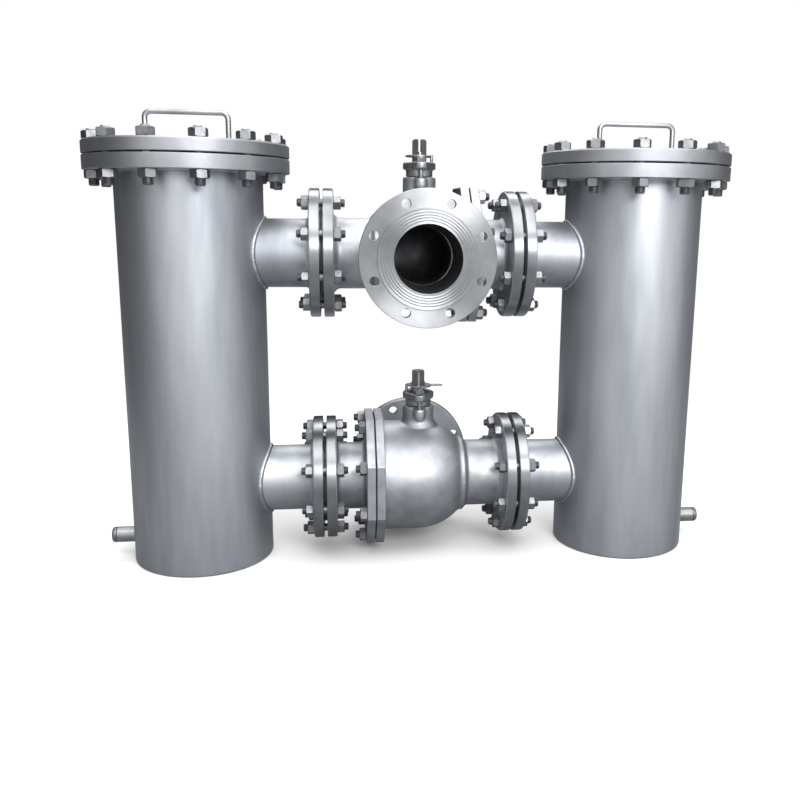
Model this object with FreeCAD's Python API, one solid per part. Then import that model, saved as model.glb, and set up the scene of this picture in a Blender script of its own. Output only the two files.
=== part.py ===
import FreeCAD, Part
import math
import os

# Duplex bag filter: two bag filter vessels side by side, joined at the top and at the bottom
# by three-way ball valves that send the flow through one vessel or the other.
# Millimetres. X runs from the left vessel to the right one, -Y is the inlet side, +Z is up.
# The origin is on the ground, midway between the two vessel axes.

# Studs, and the holes that they fill, have this many sides
stud_sides = 6

# Vessels
vessel_spacing = 877.0
shell_od = 273.0
shell_wall = 6.0
base_thickness = 10.0
base_chamfer = 2.0
weld_gap = 0.2

# Vessel mouth: flange, gasket, cover and their studs
mouth_height = 787.0
mouth_flange_width = 51.5
mouth_flange_thickness = 26.0
mouth_weld_setback = 5.0
cover_thickness = 24.0
cover_edge = 3.0
mouth_gasket_thickness = 3.0
mouth_gasket_width = 22.0
mouth_gasket_clearance = 1.0
mouth_stud_edge = 20.0
mouth_bolt_count = 12
mouth_stud_d = 20.0
mouth_hole_d = 22.0
mouth_nut_flats = 30.0
mouth_nut_height = 16.0
mouth_stud_above_nut = 3.0
mouth_stud_below_nut = 13.0

# Lifting handle on each cover
handle_rod_d = 10.0
handle_width = 162.0
handle_height = 62.0
handle_bend = 12.0

# Pipe flanges, pipe and the studs between flanges
upper_axis_height = 611.0
lower_axis_height = 154.0
pipe_od = 133.0
pipe_bore_d = 125.0
flange_od = 250.0
flange_thickness = 20.0
flange_bolt_circle = 210.0
flange_bolt_count = 8
flange_hole_d = 18.0
raised_face_d = 184.0
raised_face_height = 2.0
flange_gasket_thickness = 3.0
flange_stud_d = 16.0
flange_stud_past_nut = 8.0
flange_nut_flats = 24.0
flange_nut_height = 14.0
pipe_weld_leg = 6.0

# Three-way valve body and end cap
valve_face_distance = 190.0
valve_body_d = 226.0
valve_neck_d = 138.0
valve_collar_d = 156.0
valve_collar_reach = 97.0
valve_collar_edge = 6.0
valve_joint_distance = 91.0
joint_plate_thickness = 17.0
joint_plate_flats = 260.0
joint_gasket_thickness = 2.0
joint_gasket_width = 17.0
joint_stud_circle = 244.0
joint_stud_d = 16.0
joint_stud_depth = 14.0
joint_hole_d = 18.0
joint_stud_count = 8
neck_weld_leg = 7.0

# Ball, seats and cavity
ball_d = 180.0
port_d = 112.0
cavity_clearance = 4.0
spigot_clearance = 0.3
seat_width = 6.0
seat_back = 80.0
seat_clearance = 0.1
seat_pocket_clearance = 0.2

# Stem, packing, gland and stop
stem_d = 28.0
stem_fit = 0.1
stem_collar_d = 38.0
stem_collar_height = 6.0
stem_collar_rise = 2.0
stem_tang_width = 12.0
stem_tang_length = 34.0
stem_tang_depth = 14.0
tang_clearance = 0.2
stem_top = 221.0
stem_square_from = 191.0
stem_square_flats = 22.0
stem_slot_width = 6.0
stem_slot_depth = 24.0
stem_edge = 3.0
boss_d = 65.0
boss_top = 149.0
boss_edge = 3.0
packing_bottom = 112.0
packing_height = 28.0
packing_ring_count = 3
packing_d = 44.0
gland_clearance = 0.3
gland_neck_d = 52.0
gland_neck_rise = 1.0
gland_plate_bottom = 163.0
gland_plate_thickness = 14.0
gland_plate_d = 64.0
gland_nose_r = 14.0
gland_stud_offset = 34.0
gland_stud_d = 10.0
gland_stud_depth = 15.0
gland_stud_past_nut = 1.5
gland_hole_clearance = 0.6
gland_nut_flats = 17.0
gland_nut_height = 8.0
lug_r = 12.0
lug_height = 20.0
stop_plate_bottom = 187.5
stop_plate_thickness = 3.0
stop_plate_r = 27.0
stop_notch_r = 20.5
stop_tab_reach = 50.0
stop_tab_width = 12.0
stop_tab_tip = 5.0
stop_screw_r = 3.0
stop_screw_offset = 24.0
stop_screw_depth = 8.0
stop_screw_past_plate = 1.5
stop_clearance = 0.3
valve_turn = 90.0

# Drains
drain_height = 42.0
drain_socket_d = 31.0
drain_bore_d = 21.0
drain_reach = 36.0
drain_plug_head = 9.0
drain_plug_depth = 20.0
drain_plug_clearance = 0.3
drain_plug_round = 4.0
drain_key_flats = 12.0
drain_key_depth = 6.0

# Basket and bag
seat_ring_top = 530.0
seat_ring_thickness = 10.0
seat_ring_clearance = 5.0
lift_gap = 0.3
rim_overlap = 15.0
rim_thickness = 8.0
basket_clearance = 4.0
basket_wall = 2.0
basket_length = 420.0
basket_floor = 3.0
slot_columns = 10
slot_rows = 3
slot_width = 30.0
slot_height = 105.0
floor_hole_d = 60.0
loop_rod_d = 6.0
loop_span = 50.0
loop_height = 55.0
loop_inset = 6.0
bag_od = 178.0
bag_wall = 3.0
bag_length = 410.0
bag_foot_taper = 30.0
bag_ring_width = 14.0
bag_ring_thickness = 6.0
bag_ring_clearance = 0.2

half_spacing = vessel_spacing / 2
mouth_flange_od = shell_od + 2 * mouth_flange_width
mouth_bolt_circle = mouth_flange_od - 2 * mouth_stud_edge
basket_od = bag_od + 2 * (basket_clearance + basket_wall)
seat_ring_bore_d = basket_od + 2 * seat_ring_clearance
rim_od = seat_ring_bore_d + 2 * rim_overlap
loop_radius = rim_od / 2 - loop_inset
shell_r = shell_od / 2
shell_inner_r = shell_r - shell_wall
side_sign = {"left": -1, "right": 1}
x_axis = FreeCAD.Vector(1, 0, 0)
y_axis = FreeCAD.Vector(0, 1, 0)
z_axis = FreeCAD.Vector(0, 0, 1)
origin = FreeCAD.Vector(0, 0, 0)


def point(x, y, z):
    return FreeCAD.Vector(x, y, z)


def rod(radius, length, start=origin, direction=z_axis):
    return Part.makeCylinder(radius, length, start, direction)


def ring(outer_r, inner_r, length, start=origin, direction=z_axis):
    return rod(outer_r, length, start, direction).cut(rod(inner_r, length, start, direction))


def turned(profile, direction=z_axis):
    """Solid of revolution about a line through the origin; profile holds (radius, distance) pairs."""
    corners = [point(r, 0, along) for r, along in profile]
    wire = Part.makePolygon(corners + corners[:1])
    solid = Part.Face(wire).revolve(origin, z_axis, 360)
    solid.Placement = FreeCAD.Placement(origin, FreeCAD.Rotation(z_axis, direction))
    return solid


def prism(flats, sides, length, start=origin, direction=z_axis, turn=0.0):
    """Straight prism on a regular polygon, given across its flats."""
    corner_r = flats / 2 / math.cos(math.pi / sides)
    corners = []
    for i in range(sides):
        angle = math.radians(turn) + 2 * math.pi * (i + 0.5) / sides
        corners.append(point(corner_r * math.cos(angle), corner_r * math.sin(angle), 0))
    face = Part.Face(Part.makePolygon(corners + corners[:1]))
    solid = face.extrude(point(0, 0, length))
    solid.Placement = FreeCAD.Placement(start, FreeCAD.Rotation(z_axis, direction))
    return solid


def moved(shape, x=0.0, y=0.0, z=0.0):
    copy = shape.copy()
    copy.translate(point(x, y, z))
    return copy


def turned_about_z(shape, angle):
    copy = shape.copy()
    copy.rotate(origin, z_axis, angle)
    return copy


def circle_places(circle_d, count):
    """Places on a bolt circle that straddle the centre lines, as (u, v) pairs."""
    places = []
    for i in range(count):
        angle = 2 * math.pi * (i + 0.5) / count
        places.append((circle_d / 2 * math.cos(angle), circle_d / 2 * math.sin(angle)))
    return places


def across(direction, u, v, along):
    """Point at (u, v) across a horizontal or vertical axis and at a distance along it."""
    if abs(direction.z) > 0.5:
        return point(u, v, along * direction.z)
    if abs(direction.x) > 0.5:
        return point(along * direction.x, u, v)
    return point(u, along * direction.y, v)


def stud(diameter, length, start, direction):
    flats = diameter * math.cos(math.pi / stud_sides)
    return prism(flats, stud_sides, length, start, direction)


def nut(flats, height, hole_d, start, direction, turn=0.0):
    body = prism(flats, 6, height, start, direction, turn)
    hole_flats = hole_d * math.cos(math.pi / stud_sides)
    return body.cut(prism(hole_flats, stud_sides, height, start, direction))


def drilled(shape, hole_d, circle_d, count, start, length, direction, round_holes):
    """Bolt holes; those that studs fill have flat sides like the studs."""
    holes = []
    for u, v in circle_places(circle_d, count):
        place = across(direction, u, v, start)
        if round_holes:
            holes.append(rod(hole_d / 2, length, place, direction))
        else:
            holes.append(prism(hole_d, stud_sides, length, place, direction))
    return shape.cut(Part.makeCompound(holes))


def fused(first, *others):
    return first.multiFuse(list(others)).removeSplitter()


def bent_rod(radius, span, height, bend):
    """Upright U of round rod in the XZ plane, its feet at z = 0 and its top outside at height."""
    half = span / 2 - radius
    top = height - radius
    pieces = [rod(radius, 2 * (half - bend), point(bend - half, 0, top), x_axis)]
    for side, start_angle in ((-1, 90), (1, 0)):
        pieces.append(rod(radius, top - bend, point(side * half, 0, 0)))
        section = Part.Face(Part.Wire(Part.makeCircle(radius, point(bend, 0, 0), y_axis * -1)))
        corner = section.revolve(origin, z_axis, 90)
        corner.Placement = FreeCAD.Placement(point(side * (half - bend), 0, top - bend),
                                             FreeCAD.Rotation(x_axis, 90))
        corner.rotate(corner.Placement.Base, y_axis, -start_angle)
        pieces.append(corner)
    return fused(*pieces)


# Vessel pieces, built on the vessel's own axis at x = 0

def base_plate():
    top = base_thickness
    edge = base_chamfer
    profile = [(0, 0), (shell_r - edge, 0), (shell_r, edge), (shell_r, top), (0, top)]
    return turned(profile)


def shell(sign):
    """Vessel wall with its two nozzle holes and its drain hole; sign says which side is outward."""
    height = mouth_height - mouth_weld_setback - base_thickness
    wall = ring(shell_r, shell_inner_r, height, point(0, 0, base_thickness))
    inward = point(-sign, 0, 0)
    cuts = []
    for axis_height in (upper_axis_height, lower_axis_height):
        cuts.append(rod(pipe_bore_d / 2, shell_r + weld_gap, point(0, 0, axis_height), inward))
    cuts.append(rod(drain_bore_d / 2, shell_r + weld_gap, point(0, 0, drain_height), point(sign, 0, 0)))
    return wall.cut(Part.makeCompound(cuts))


def mouth_flange():
    bottom = mouth_height - mouth_flange_thickness
    bore = shell_r + weld_gap
    outer = mouth_flange_od / 2
    body = ring(outer, bore, mouth_flange_thickness, point(0, 0, bottom))
    return drilled(body, mouth_hole_d, mouth_bolt_circle, mouth_bolt_count,
                   bottom, mouth_flange_thickness, z_axis, False)


cover_bottom = mouth_height + mouth_gasket_thickness
cover_top = cover_bottom + cover_thickness


def mouth_gasket():
    outer = mouth_bolt_circle / 2 - mouth_hole_d / 2 - mouth_gasket_clearance
    height = mouth_gasket_thickness - lift_gap
    return ring(outer, outer - mouth_gasket_width, height, point(0, 0, mouth_height))


def cover():
    outer = mouth_flange_od / 2
    profile = [(0, cover_bottom), (outer, cover_bottom), (outer, cover_top - cover_edge),
               (outer - cover_edge, cover_top), (0, cover_top)]
    return drilled(turned(profile), mouth_hole_d, mouth_bolt_circle, mouth_bolt_count,
                   cover_bottom, cover_thickness, z_axis, False)


def cover_handle():
    return moved(bent_rod(handle_rod_d / 2, handle_width, handle_height, handle_bend), z=cover_top)


mouth_flange_bottom = mouth_height - mouth_flange_thickness


def mouth_studs():
    bottom = mouth_flange_bottom - mouth_nut_height - mouth_stud_below_nut
    top = cover_top + mouth_nut_height + mouth_stud_above_nut
    solids = []
    for x, y in circle_places(mouth_bolt_circle, mouth_bolt_count):
        solids.append(stud(mouth_stud_d, top - bottom, point(x, y, bottom), z_axis))
    return solids


def mouth_nuts(bottom, hole_d):
    solids = []
    for x, y in circle_places(mouth_bolt_circle, mouth_bolt_count):
        turn = math.degrees(math.atan2(y, x))
        place = point(x, y, bottom)
        outside = prism(mouth_nut_flats, 6, mouth_nut_height, place, z_axis, turn)
        solids.append(outside.cut(stud(hole_d, mouth_nut_height, place, z_axis)))
    return solids


def nozzle(sign, axis_height):
    """Flange and pipe between a valve and a vessel, cut to the vessel's curve."""
    toward = point(sign, 0, 0)
    face = valve_face_distance + flange_gasket_thickness
    plate = face + raised_face_height
    back = plate + flange_thickness
    outer = flange_od / 2
    pipe_r = pipe_od / 2
    bore_r = pipe_bore_d / 2
    profile = [(bore_r, face), (raised_face_d / 2, face), (raised_face_d / 2, plate),
               (outer, plate), (outer, back),
               (pipe_r + pipe_weld_leg, back), (pipe_r, back + pipe_weld_leg),
               (pipe_r, half_spacing), (bore_r, half_spacing)]
    body = turned(profile, toward)
    body = drilled(body, flange_hole_d, flange_bolt_circle, flange_bolt_count,
                   plate, flange_thickness, toward, False)
    body = moved(body, z=axis_height)
    vessel = rod(shell_r + weld_gap, mouth_height, point(sign * half_spacing, 0, 0))
    return body.cut(vessel)


def drain_socket(sign):
    outward = point(sign, 0, 0)
    inner = ring(drain_socket_d / 2, drain_bore_d / 2, shell_r + drain_reach, origin, outward)
    inner = moved(inner, z=drain_height)
    return inner.cut(rod(shell_r + weld_gap, mouth_height))


def drain_plug(sign):
    """Screwed plug with a rounded head and a hexagon recess for its key."""
    outward = point(sign, 0, 0)
    seat = shell_r + drain_reach + lift_gap
    head_r = drain_socket_d / 2
    shank_r = drain_bore_d / 2 - drain_plug_clearance
    end = seat + drain_plug_head
    profile = [(0, seat - drain_plug_depth), (shank_r, seat - drain_plug_depth), (shank_r, seat),
               (head_r, seat), (head_r, end - drain_plug_round),
               (head_r - drain_plug_round, end), (0, end)]
    recess = prism(drain_key_flats, 6, drain_key_depth, point(sign * (end - drain_key_depth), 0, 0), outward)
    return moved(turned(profile, outward).cut(recess), z=drain_height)


def basket_seat():
    bottom = seat_ring_top - seat_ring_thickness
    return ring(shell_inner_r - weld_gap, seat_ring_bore_d / 2, seat_ring_thickness, point(0, 0, bottom))


rim_bottom = seat_ring_top + lift_gap
rim_top = rim_bottom + rim_thickness
basket_r = basket_od / 2
basket_inner_r = basket_r - basket_wall


def basket():
    """Basket that carries the bag: a rim that hangs on the seat ring and a slotted wall and floor."""
    bottom = rim_top - basket_length
    floor_top = bottom + basket_floor
    profile = [(0, bottom), (basket_r, bottom), (basket_r, rim_bottom), (rim_od / 2, rim_bottom),
               (rim_od / 2, rim_top), (basket_inner_r, rim_top), (basket_inner_r, floor_top), (0, floor_top)]
    body = turned(profile)
    pitch = (rim_bottom - floor_top) / slot_rows
    slots = [rod(floor_hole_d / 2, basket_floor, point(0, 0, bottom))]
    for row in range(slot_rows):
        low = floor_top + pitch * (row + 0.5) - slot_height / 2
        for column in range(slot_columns):
            slot = Part.makeBox(basket_r, slot_width, slot_height, point(basket_r / 2, -slot_width / 2, low))
            slots.append(turned_about_z(slot, 360.0 * column / slot_columns))
    return body.cut(Part.makeCompound(slots))


def basket_loops():
    """Two lifting loops that stand on the rim, outside the bag ring."""
    loop = turned_about_z(bent_rod(loop_rod_d / 2, loop_span, loop_height, handle_bend), 90)
    return [moved(loop, x=side * loop_radius, z=rim_top) for side in (-1, 1)]


bag_ring_bottom = rim_top + lift_gap


def filter_bag():
    """Felt bag with a tapered foot, open at the top, hanging inside the basket from its ring."""
    top = bag_ring_bottom + bag_ring_thickness
    foot = top - bag_length
    outer = bag_od / 2
    taper = bag_foot_taper
    inner = outer - bag_wall
    profile = [(0, foot), (outer - taper, foot), (outer, foot + taper), (outer, top), (inner, top),
               (inner, foot + taper + bag_wall / 2), (inner - taper, foot + bag_wall), (0, foot + bag_wall)]
    return turned(profile)


def bag_ring():
    inner = bag_od / 2 + bag_ring_clearance
    return ring(inner + bag_ring_width, inner, bag_ring_thickness, point(0, 0, bag_ring_bottom))


# Valve pieces, built about the valve's centre with the branch to -Y and the end cap on +X

ball_r = ball_d / 2
port_r = port_d / 2
cavity_r = ball_r + cavity_clearance
body_r = valve_body_d / 2
seat_outer_r = port_r + seat_width
valve_plate = valve_face_distance - raised_face_height
valve_plate_back = valve_plate - flange_thickness
joint_cap_face = valve_joint_distance + joint_gasket_thickness


def valve_end(start_profile):
    """Profile of a neck, its flange and its raised face, closed to the axis."""
    outer = flange_od / 2
    neck_r = valve_neck_d / 2
    return start_profile + [
        (neck_r, valve_plate_back - neck_weld_leg), (neck_r + neck_weld_leg, valve_plate_back),
        (outer, valve_plate_back), (outer, valve_plate),
        (raised_face_d / 2, valve_plate), (raised_face_d / 2, valve_face_distance), (0, valve_face_distance)]


def valve_passage(direction):
    """Seat pocket and bore, which widens from the port to the flange."""
    pocket_r = seat_outer_r + seat_pocket_clearance
    profile = [(0, 0), (pocket_r, 0), (pocket_r, seat_back), (port_r, seat_back),
               (port_r, joint_cap_face), (pipe_bore_d / 2, valve_plate_back),
               (pipe_bore_d / 2, valve_face_distance), (0, valve_face_distance)]
    return turned(profile, direction)


def valve_body():
    neck_r = valve_neck_d / 2
    collar_r = valve_collar_d / 2
    neck = valve_end([(0, 0), (collar_r, 0), (collar_r, valve_collar_reach - valve_collar_edge),
                      (neck_r, valve_collar_reach)])
    round_end = Part.makeSphere(body_r)
    half_space = Part.makeBox(2 * body_r, 2 * body_r, 2 * body_r, point(-2 * body_r, -body_r, -body_r))
    round_end = round_end.common(half_space)
    barrel = rod(body_r, valve_joint_distance, origin, x_axis)
    plate = prism(joint_plate_flats, 8, joint_plate_thickness,
                  point(valve_joint_distance - joint_plate_thickness, 0, 0), x_axis)
    boss = turned([(0, 0), (boss_d / 2, 0), (boss_d / 2, boss_top - boss_edge),
                   (boss_d / 2 - boss_edge, boss_top), (0, boss_top)])
    lugs = [rod(lug_r, lug_height, point(0, side * gland_stud_offset, boss_top - boss_edge - lug_height))
            for side in (-1, 1)]
    body = fused(barrel, round_end, plate, boss, turned(neck, point(-1, 0, 0)),
                 turned(neck, point(0, -1, 0)), *lugs)
    cuts = [Part.makeSphere(cavity_r), rod(cavity_r, valve_joint_distance, origin, x_axis),
            valve_passage(point(-1, 0, 0)), valve_passage(point(0, -1, 0))]
    cuts += stem_bores()
    for side in (-1, 1):
        bottom = boss_top - boss_edge - gland_stud_depth
        cuts.append(stud(gland_stud_d, boss_top - bottom, point(0, side * gland_stud_offset, bottom), z_axis))
    for cut in cuts:
        body = body.cut(cut)
    body = drilled(body, flange_hole_d, flange_bolt_circle, flange_bolt_count,
                   valve_plate_back, flange_thickness, point(-1, 0, 0), False)
    body = drilled(body, flange_hole_d, flange_bolt_circle, flange_bolt_count,
                   valve_plate_back, flange_thickness, point(0, -1, 0), True)
    return joint_stud_holes(body, valve_joint_distance - joint_stud_depth, joint_stud_depth, joint_stud_d)


def stem_bores():
    collar_r = stem_collar_d / 2 + gland_clearance
    collar_top = ball_r + stem_collar_rise + stem_collar_height + gland_clearance
    return [rod(collar_r, collar_top), rod(stem_d / 2 + stem_fit, boss_top),
            rod(packing_d / 2, boss_top, point(0, 0, packing_bottom))]


def joint_stud_holes(body, start, length, hole_d):
    holes = []
    for u, v in circle_places(joint_stud_circle, joint_stud_count):
        holes.append(stud(hole_d, length, point(start, u, v), x_axis))
    return body.cut(Part.makeCompound(holes))


def valve_end_cap():
    neck_r = valve_neck_d / 2
    plate_end = joint_cap_face + joint_plate_thickness
    profile = valve_end([(0, joint_cap_face), (neck_r + neck_weld_leg, joint_cap_face),
                         (neck_r + neck_weld_leg, plate_end), (neck_r, plate_end + neck_weld_leg)])
    neck = turned(profile, x_axis)
    plate = prism(joint_plate_flats, 8, joint_plate_thickness, point(joint_cap_face, 0, 0), x_axis)
    spigot_start = ball_r * math.sqrt(0.5)
    spigot = rod(cavity_r - spigot_clearance, joint_cap_face - spigot_start, point(spigot_start, 0, 0), x_axis)
    body = fused(plate, neck, spigot)
    body = body.cut(Part.makeSphere(cavity_r))
    body = body.cut(valve_passage(x_axis))
    body = drilled(body, flange_hole_d, flange_bolt_circle, flange_bolt_count,
                   valve_plate_back, flange_thickness, x_axis, False)
    return joint_stud_holes(body, joint_cap_face, joint_plate_thickness, joint_hole_d)


def valve_joint_gasket():
    inner = cavity_r + spigot_clearance
    return ring(inner + joint_gasket_width, inner, joint_gasket_thickness,
                point(valve_joint_distance, 0, 0), x_axis)


def valve_cap_studs():
    """Studs screwed into the body's plate, each with its nut on the cap side."""
    nut_start = joint_cap_face + joint_plate_thickness
    start = valve_joint_distance - joint_stud_depth
    end = nut_start + flange_nut_height + flange_stud_past_nut
    solids = []
    for u, v in circle_places(joint_stud_circle, joint_stud_count):
        solids.append(stud(joint_stud_d, end - start, point(start, u, v), x_axis))
        solids.append(nut(flange_nut_flats, flange_nut_height, joint_stud_d, point(nut_start, u, v), x_axis))
    return solids


def valve_ball():
    """Ball with an L-shaped port from -Y to -X and a slot for the stem's tang."""
    ball = Part.makeSphere(ball_r)
    slot_width = stem_tang_width + 2 * tang_clearance
    slot_bottom = ball_r - stem_tang_depth - tang_clearance
    slot = Part.makeBox(slot_width, 2 * ball_r, ball_r, point(-slot_width / 2, -ball_r, slot_bottom))
    port = fused(rod(port_r, ball_r, origin, point(-1, 0, 0)), rod(port_r, ball_r, origin, point(0, -1, 0)),
                 Part.makeSphere(port_r))
    return ball.cut(port).cut(slot)


def valve_seats():
    """Three seat rings, each with a face that follows the ball."""
    follow = Part.makeSphere(ball_r + seat_clearance)
    start = math.sqrt(ball_r ** 2 - seat_outer_r ** 2)
    solids = []
    for direction in (point(-1, 0, 0), x_axis, point(0, -1, 0)):
        blank = ring(seat_outer_r, port_r, seat_back - start, direction * start, direction)
        solids.append(blank.cut(follow))
    return solids


def valve_stem():
    """Blow-out-proof stem: tang, collar, round shank, and a square end slotted across its corners."""
    radius = stem_d / 2
    collar_bottom = ball_r + stem_collar_rise
    collar_top = collar_bottom + stem_collar_height
    tang = Part.makeBox(stem_tang_width, stem_tang_length, stem_tang_depth + stem_collar_rise,
                        point(-stem_tang_width / 2, -stem_tang_length / 2, ball_r - stem_tang_depth))
    shank = turned([(0, collar_bottom), (stem_collar_d / 2, collar_bottom), (stem_collar_d / 2, collar_top),
                    (radius, collar_top), (radius, stem_square_from), (0, stem_square_from)])
    end = turned([(0, stem_square_from), (radius, stem_square_from), (radius, stem_top - stem_edge),
                  (radius - stem_edge, stem_top), (0, stem_top)])
    square = prism(stem_square_flats, 4, stem_top - stem_square_from, point(0, 0, stem_square_from), z_axis, 45)
    slot = Part.makeBox(stem_slot_width, stem_d, stem_slot_depth,
                        point(-stem_slot_width / 2, -radius, stem_top - stem_slot_depth))
    return fused(shank, tang, end.common(square)).cut(slot)


def valve_packing():
    height = packing_height / packing_ring_count
    inner = stem_d / 2 + stem_fit
    return [ring(packing_d / 2, inner, height, point(0, 0, packing_bottom + height * i))
            for i in range(packing_ring_count)]


gland_bottom = packing_bottom + packing_height
gland_top = gland_plate_bottom + gland_plate_thickness


def valve_gland():
    sleeve_r = packing_d / 2 - gland_clearance
    neck_bottom = boss_top + gland_neck_rise
    profile = [(0, gland_bottom), (sleeve_r, gland_bottom), (sleeve_r, neck_bottom),
               (gland_neck_d / 2, neck_bottom), (gland_neck_d / 2, gland_plate_bottom), (0, gland_plate_bottom)]
    plate = rod(gland_plate_d / 2, gland_plate_thickness, point(0, 0, gland_plate_bottom))
    ears = Part.makeBox(2 * gland_nose_r, 2 * gland_stud_offset, gland_plate_thickness,
                        point(-gland_nose_r, -gland_stud_offset, gland_plate_bottom))
    noses = [rod(gland_nose_r, gland_plate_thickness, point(0, side * gland_stud_offset, gland_plate_bottom))
             for side in (-1, 1)]
    body = fused(turned(profile), plate, ears, *noses)
    body = body.cut(rod(stem_d / 2 + gland_clearance, gland_top))
    for side in (-1, 1):
        hole = stud(gland_stud_d + 2 * gland_hole_clearance, gland_plate_thickness,
                    point(0, side * gland_stud_offset, gland_plate_bottom), z_axis)
        body = body.cut(hole)
    return body.cut(rod(stop_screw_r, stop_screw_depth,
                        point(stop_screw_offset, 0, gland_top - stop_screw_depth)))


def valve_gland_studs():
    bottom = boss_top - boss_edge - gland_stud_depth
    top = gland_top + gland_nut_height + gland_stud_past_nut
    solids = []
    for side in (-1, 1):
        y = side * gland_stud_offset
        solids.append(stud(gland_stud_d, top - bottom, point(0, y, bottom), z_axis))
        solids.append(nut(gland_nut_flats, gland_nut_height, gland_stud_d, point(0, y, gland_top), z_axis))
    return solids


def stop_screw():
    top = stop_plate_bottom + stop_plate_thickness + stop_screw_past_plate
    bottom = gland_top - stop_screw_depth
    return rod(stop_screw_r, top - bottom, point(stop_screw_offset, 0, bottom))


def stop_plate():
    """Plate on the stem: its notch runs from one side of the stop screw to the other in a quarter turn."""
    plate = rod(stop_plate_r, stop_plate_thickness, point(0, 0, stop_plate_bottom))
    half = stop_tab_width / 2
    neck = stop_tab_reach - stop_tab_width
    corners = [point(-half, 0, 0), point(half, 0, 0), point(half, neck, 0),
               point(stop_tab_tip / 2, stop_tab_reach, 0), point(-stop_tab_tip / 2, stop_tab_reach, 0),
               point(-half, neck, 0)]
    tab = Part.Face(Part.makePolygon(corners + corners[:1])).extrude(point(0, 0, stop_plate_thickness))
    body = fused(plate, moved(tab, z=stop_plate_bottom))
    margin = math.degrees(math.asin((stop_screw_r + stop_clearance) / stop_screw_offset))
    sweep = valve_turn + 2 * margin
    notch = Part.makeCylinder(stop_plate_r + 1, stop_plate_thickness, point(0, 0, stop_plate_bottom),
                              z_axis, sweep)
    notch = notch.cut(rod(stop_notch_r, stop_plate_thickness, point(0, 0, stop_plate_bottom)))
    body = body.cut(turned_about_z(notch, -valve_turn - margin))
    return body.cut(rod(stem_d / 2 + stem_fit / 2, stop_plate_thickness, point(0, 0, stop_plate_bottom)))


# Joints between a valve and the two nozzles

def flange_joint_places():
    for axis_height in (upper_axis_height, lower_axis_height):
        for sign in (-1, 1):
            yield sign, axis_height


def flange_gaskets():
    solids = []
    for sign, axis_height in flange_joint_places():
        gasket = ring(raised_face_d / 2, pipe_bore_d / 2, flange_gasket_thickness,
                      point(sign * valve_face_distance, 0, axis_height), point(sign, 0, 0))
        solids.append(gasket)
    return solids


joint_grip = 2 * (flange_thickness + raised_face_height) + flange_gasket_thickness


def flange_studs():
    length = joint_grip + 2 * (flange_nut_height + flange_stud_past_nut)
    start = valve_plate_back - flange_nut_height - flange_stud_past_nut
    solids = []
    for sign, axis_height in flange_joint_places():
        for u, v in circle_places(flange_bolt_circle, flange_bolt_count):
            place = point(sign * start, u, axis_height + v)
            solids.append(stud(flange_stud_d, length, place, point(sign, 0, 0)))
    return solids


def flange_nuts():
    starts = (valve_plate_back - flange_nut_height, valve_plate_back + joint_grip)
    solids = []
    for sign, axis_height in flange_joint_places():
        for u, v in circle_places(flange_bolt_circle, flange_bolt_count):
            for start in starts:
                place = point(sign * start, u, axis_height + v)
                solids.append(nut(flange_nut_flats, flange_nut_height, flange_stud_d, place, point(sign, 0, 0)))
    return solids


# Assembly

nodes = {}


def place(name, shape, x=0.0, y=0.0, z=0.0, turn=0.0):
    """Adds a solid, or a list of solids as one group, to a node, turned and then moved."""
    solids = shape if isinstance(shape, list) else [shape]
    for solid in solids:
        nodes.setdefault(name, []).append(moved(turned_about_z(solid, turn), x, y, z))


for side, sign in side_sign.items():
    vessel_x = sign * half_spacing
    place(side + "_base_plate", base_plate(), vessel_x)
    place(side + "_shell", shell(sign), vessel_x)
    place(side + "_mouth_flange", mouth_flange(), vessel_x)
    place(side + "_upper_nozzle", nozzle(sign, upper_axis_height))
    place(side + "_lower_nozzle", nozzle(sign, lower_axis_height))
    place(side + "_drain_socket", drain_socket(sign), vessel_x)
    place(side + "_drain_plug", drain_plug(sign), vessel_x)
    place(side + "_cover_gasket", mouth_gasket(), vessel_x)
    place(side + "_cover", cover(), vessel_x)
    place(side + "_cover_handle", cover_handle(), vessel_x)
    place(side + "_cover_top_nuts", mouth_nuts(cover_top, mouth_stud_d + 2 * lift_gap), vessel_x)
    place("cover_studs", mouth_studs(), vessel_x)
    place("cover_lower_nuts", mouth_nuts(mouth_flange_bottom - mouth_nut_height, mouth_stud_d), vessel_x)
    place(side + "_basket_seat", basket_seat(), vessel_x)
    place(side + "_basket", basket(), vessel_x)
    place(side + "_basket_loops", basket_loops(), vessel_x)
    place(side + "_filter_bag", filter_bag(), vessel_x)
    place(side + "_bag_ring", bag_ring(), vessel_x)

# The lower valve is the same valve turned half round, with its ball a quarter turn on,
# so that both valves serve the left vessel.
valves = {"upper": (upper_axis_height, 0.0, 0.0), "lower": (lower_axis_height, 180.0, valve_turn)}
for level, (height, turn, ball_turn) in valves.items():
    place(level + "_valve_body", valve_body(), z=height, turn=turn)
    place(level + "_end_cap", valve_end_cap(), z=height, turn=turn)
    place(level + "_body_gasket", valve_joint_gasket(), z=height, turn=turn)
    place(level + "_cap_studs", valve_cap_studs(), z=height, turn=turn)
    place(level + "_seats", valve_seats(), z=height, turn=turn)
    place(level + "_packing", valve_packing(), z=height, turn=turn)
    place(level + "_gland", valve_gland(), z=height, turn=turn)
    place(level + "_gland_studs", valve_gland_studs(), z=height, turn=turn)
    place("stop_screws", stop_screw(), z=height, turn=turn)
    place(level + "_ball", valve_ball(), z=height, turn=turn + ball_turn)
    place(level + "_stem", valve_stem(), z=height, turn=turn + ball_turn)
    place(level + "_stop_plate", stop_plate(), z=height, turn=turn + ball_turn)

place("flange_gaskets", flange_gaskets())
place("flange_studs", flange_studs())
place("flange_nuts", flange_nuts())

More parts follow.
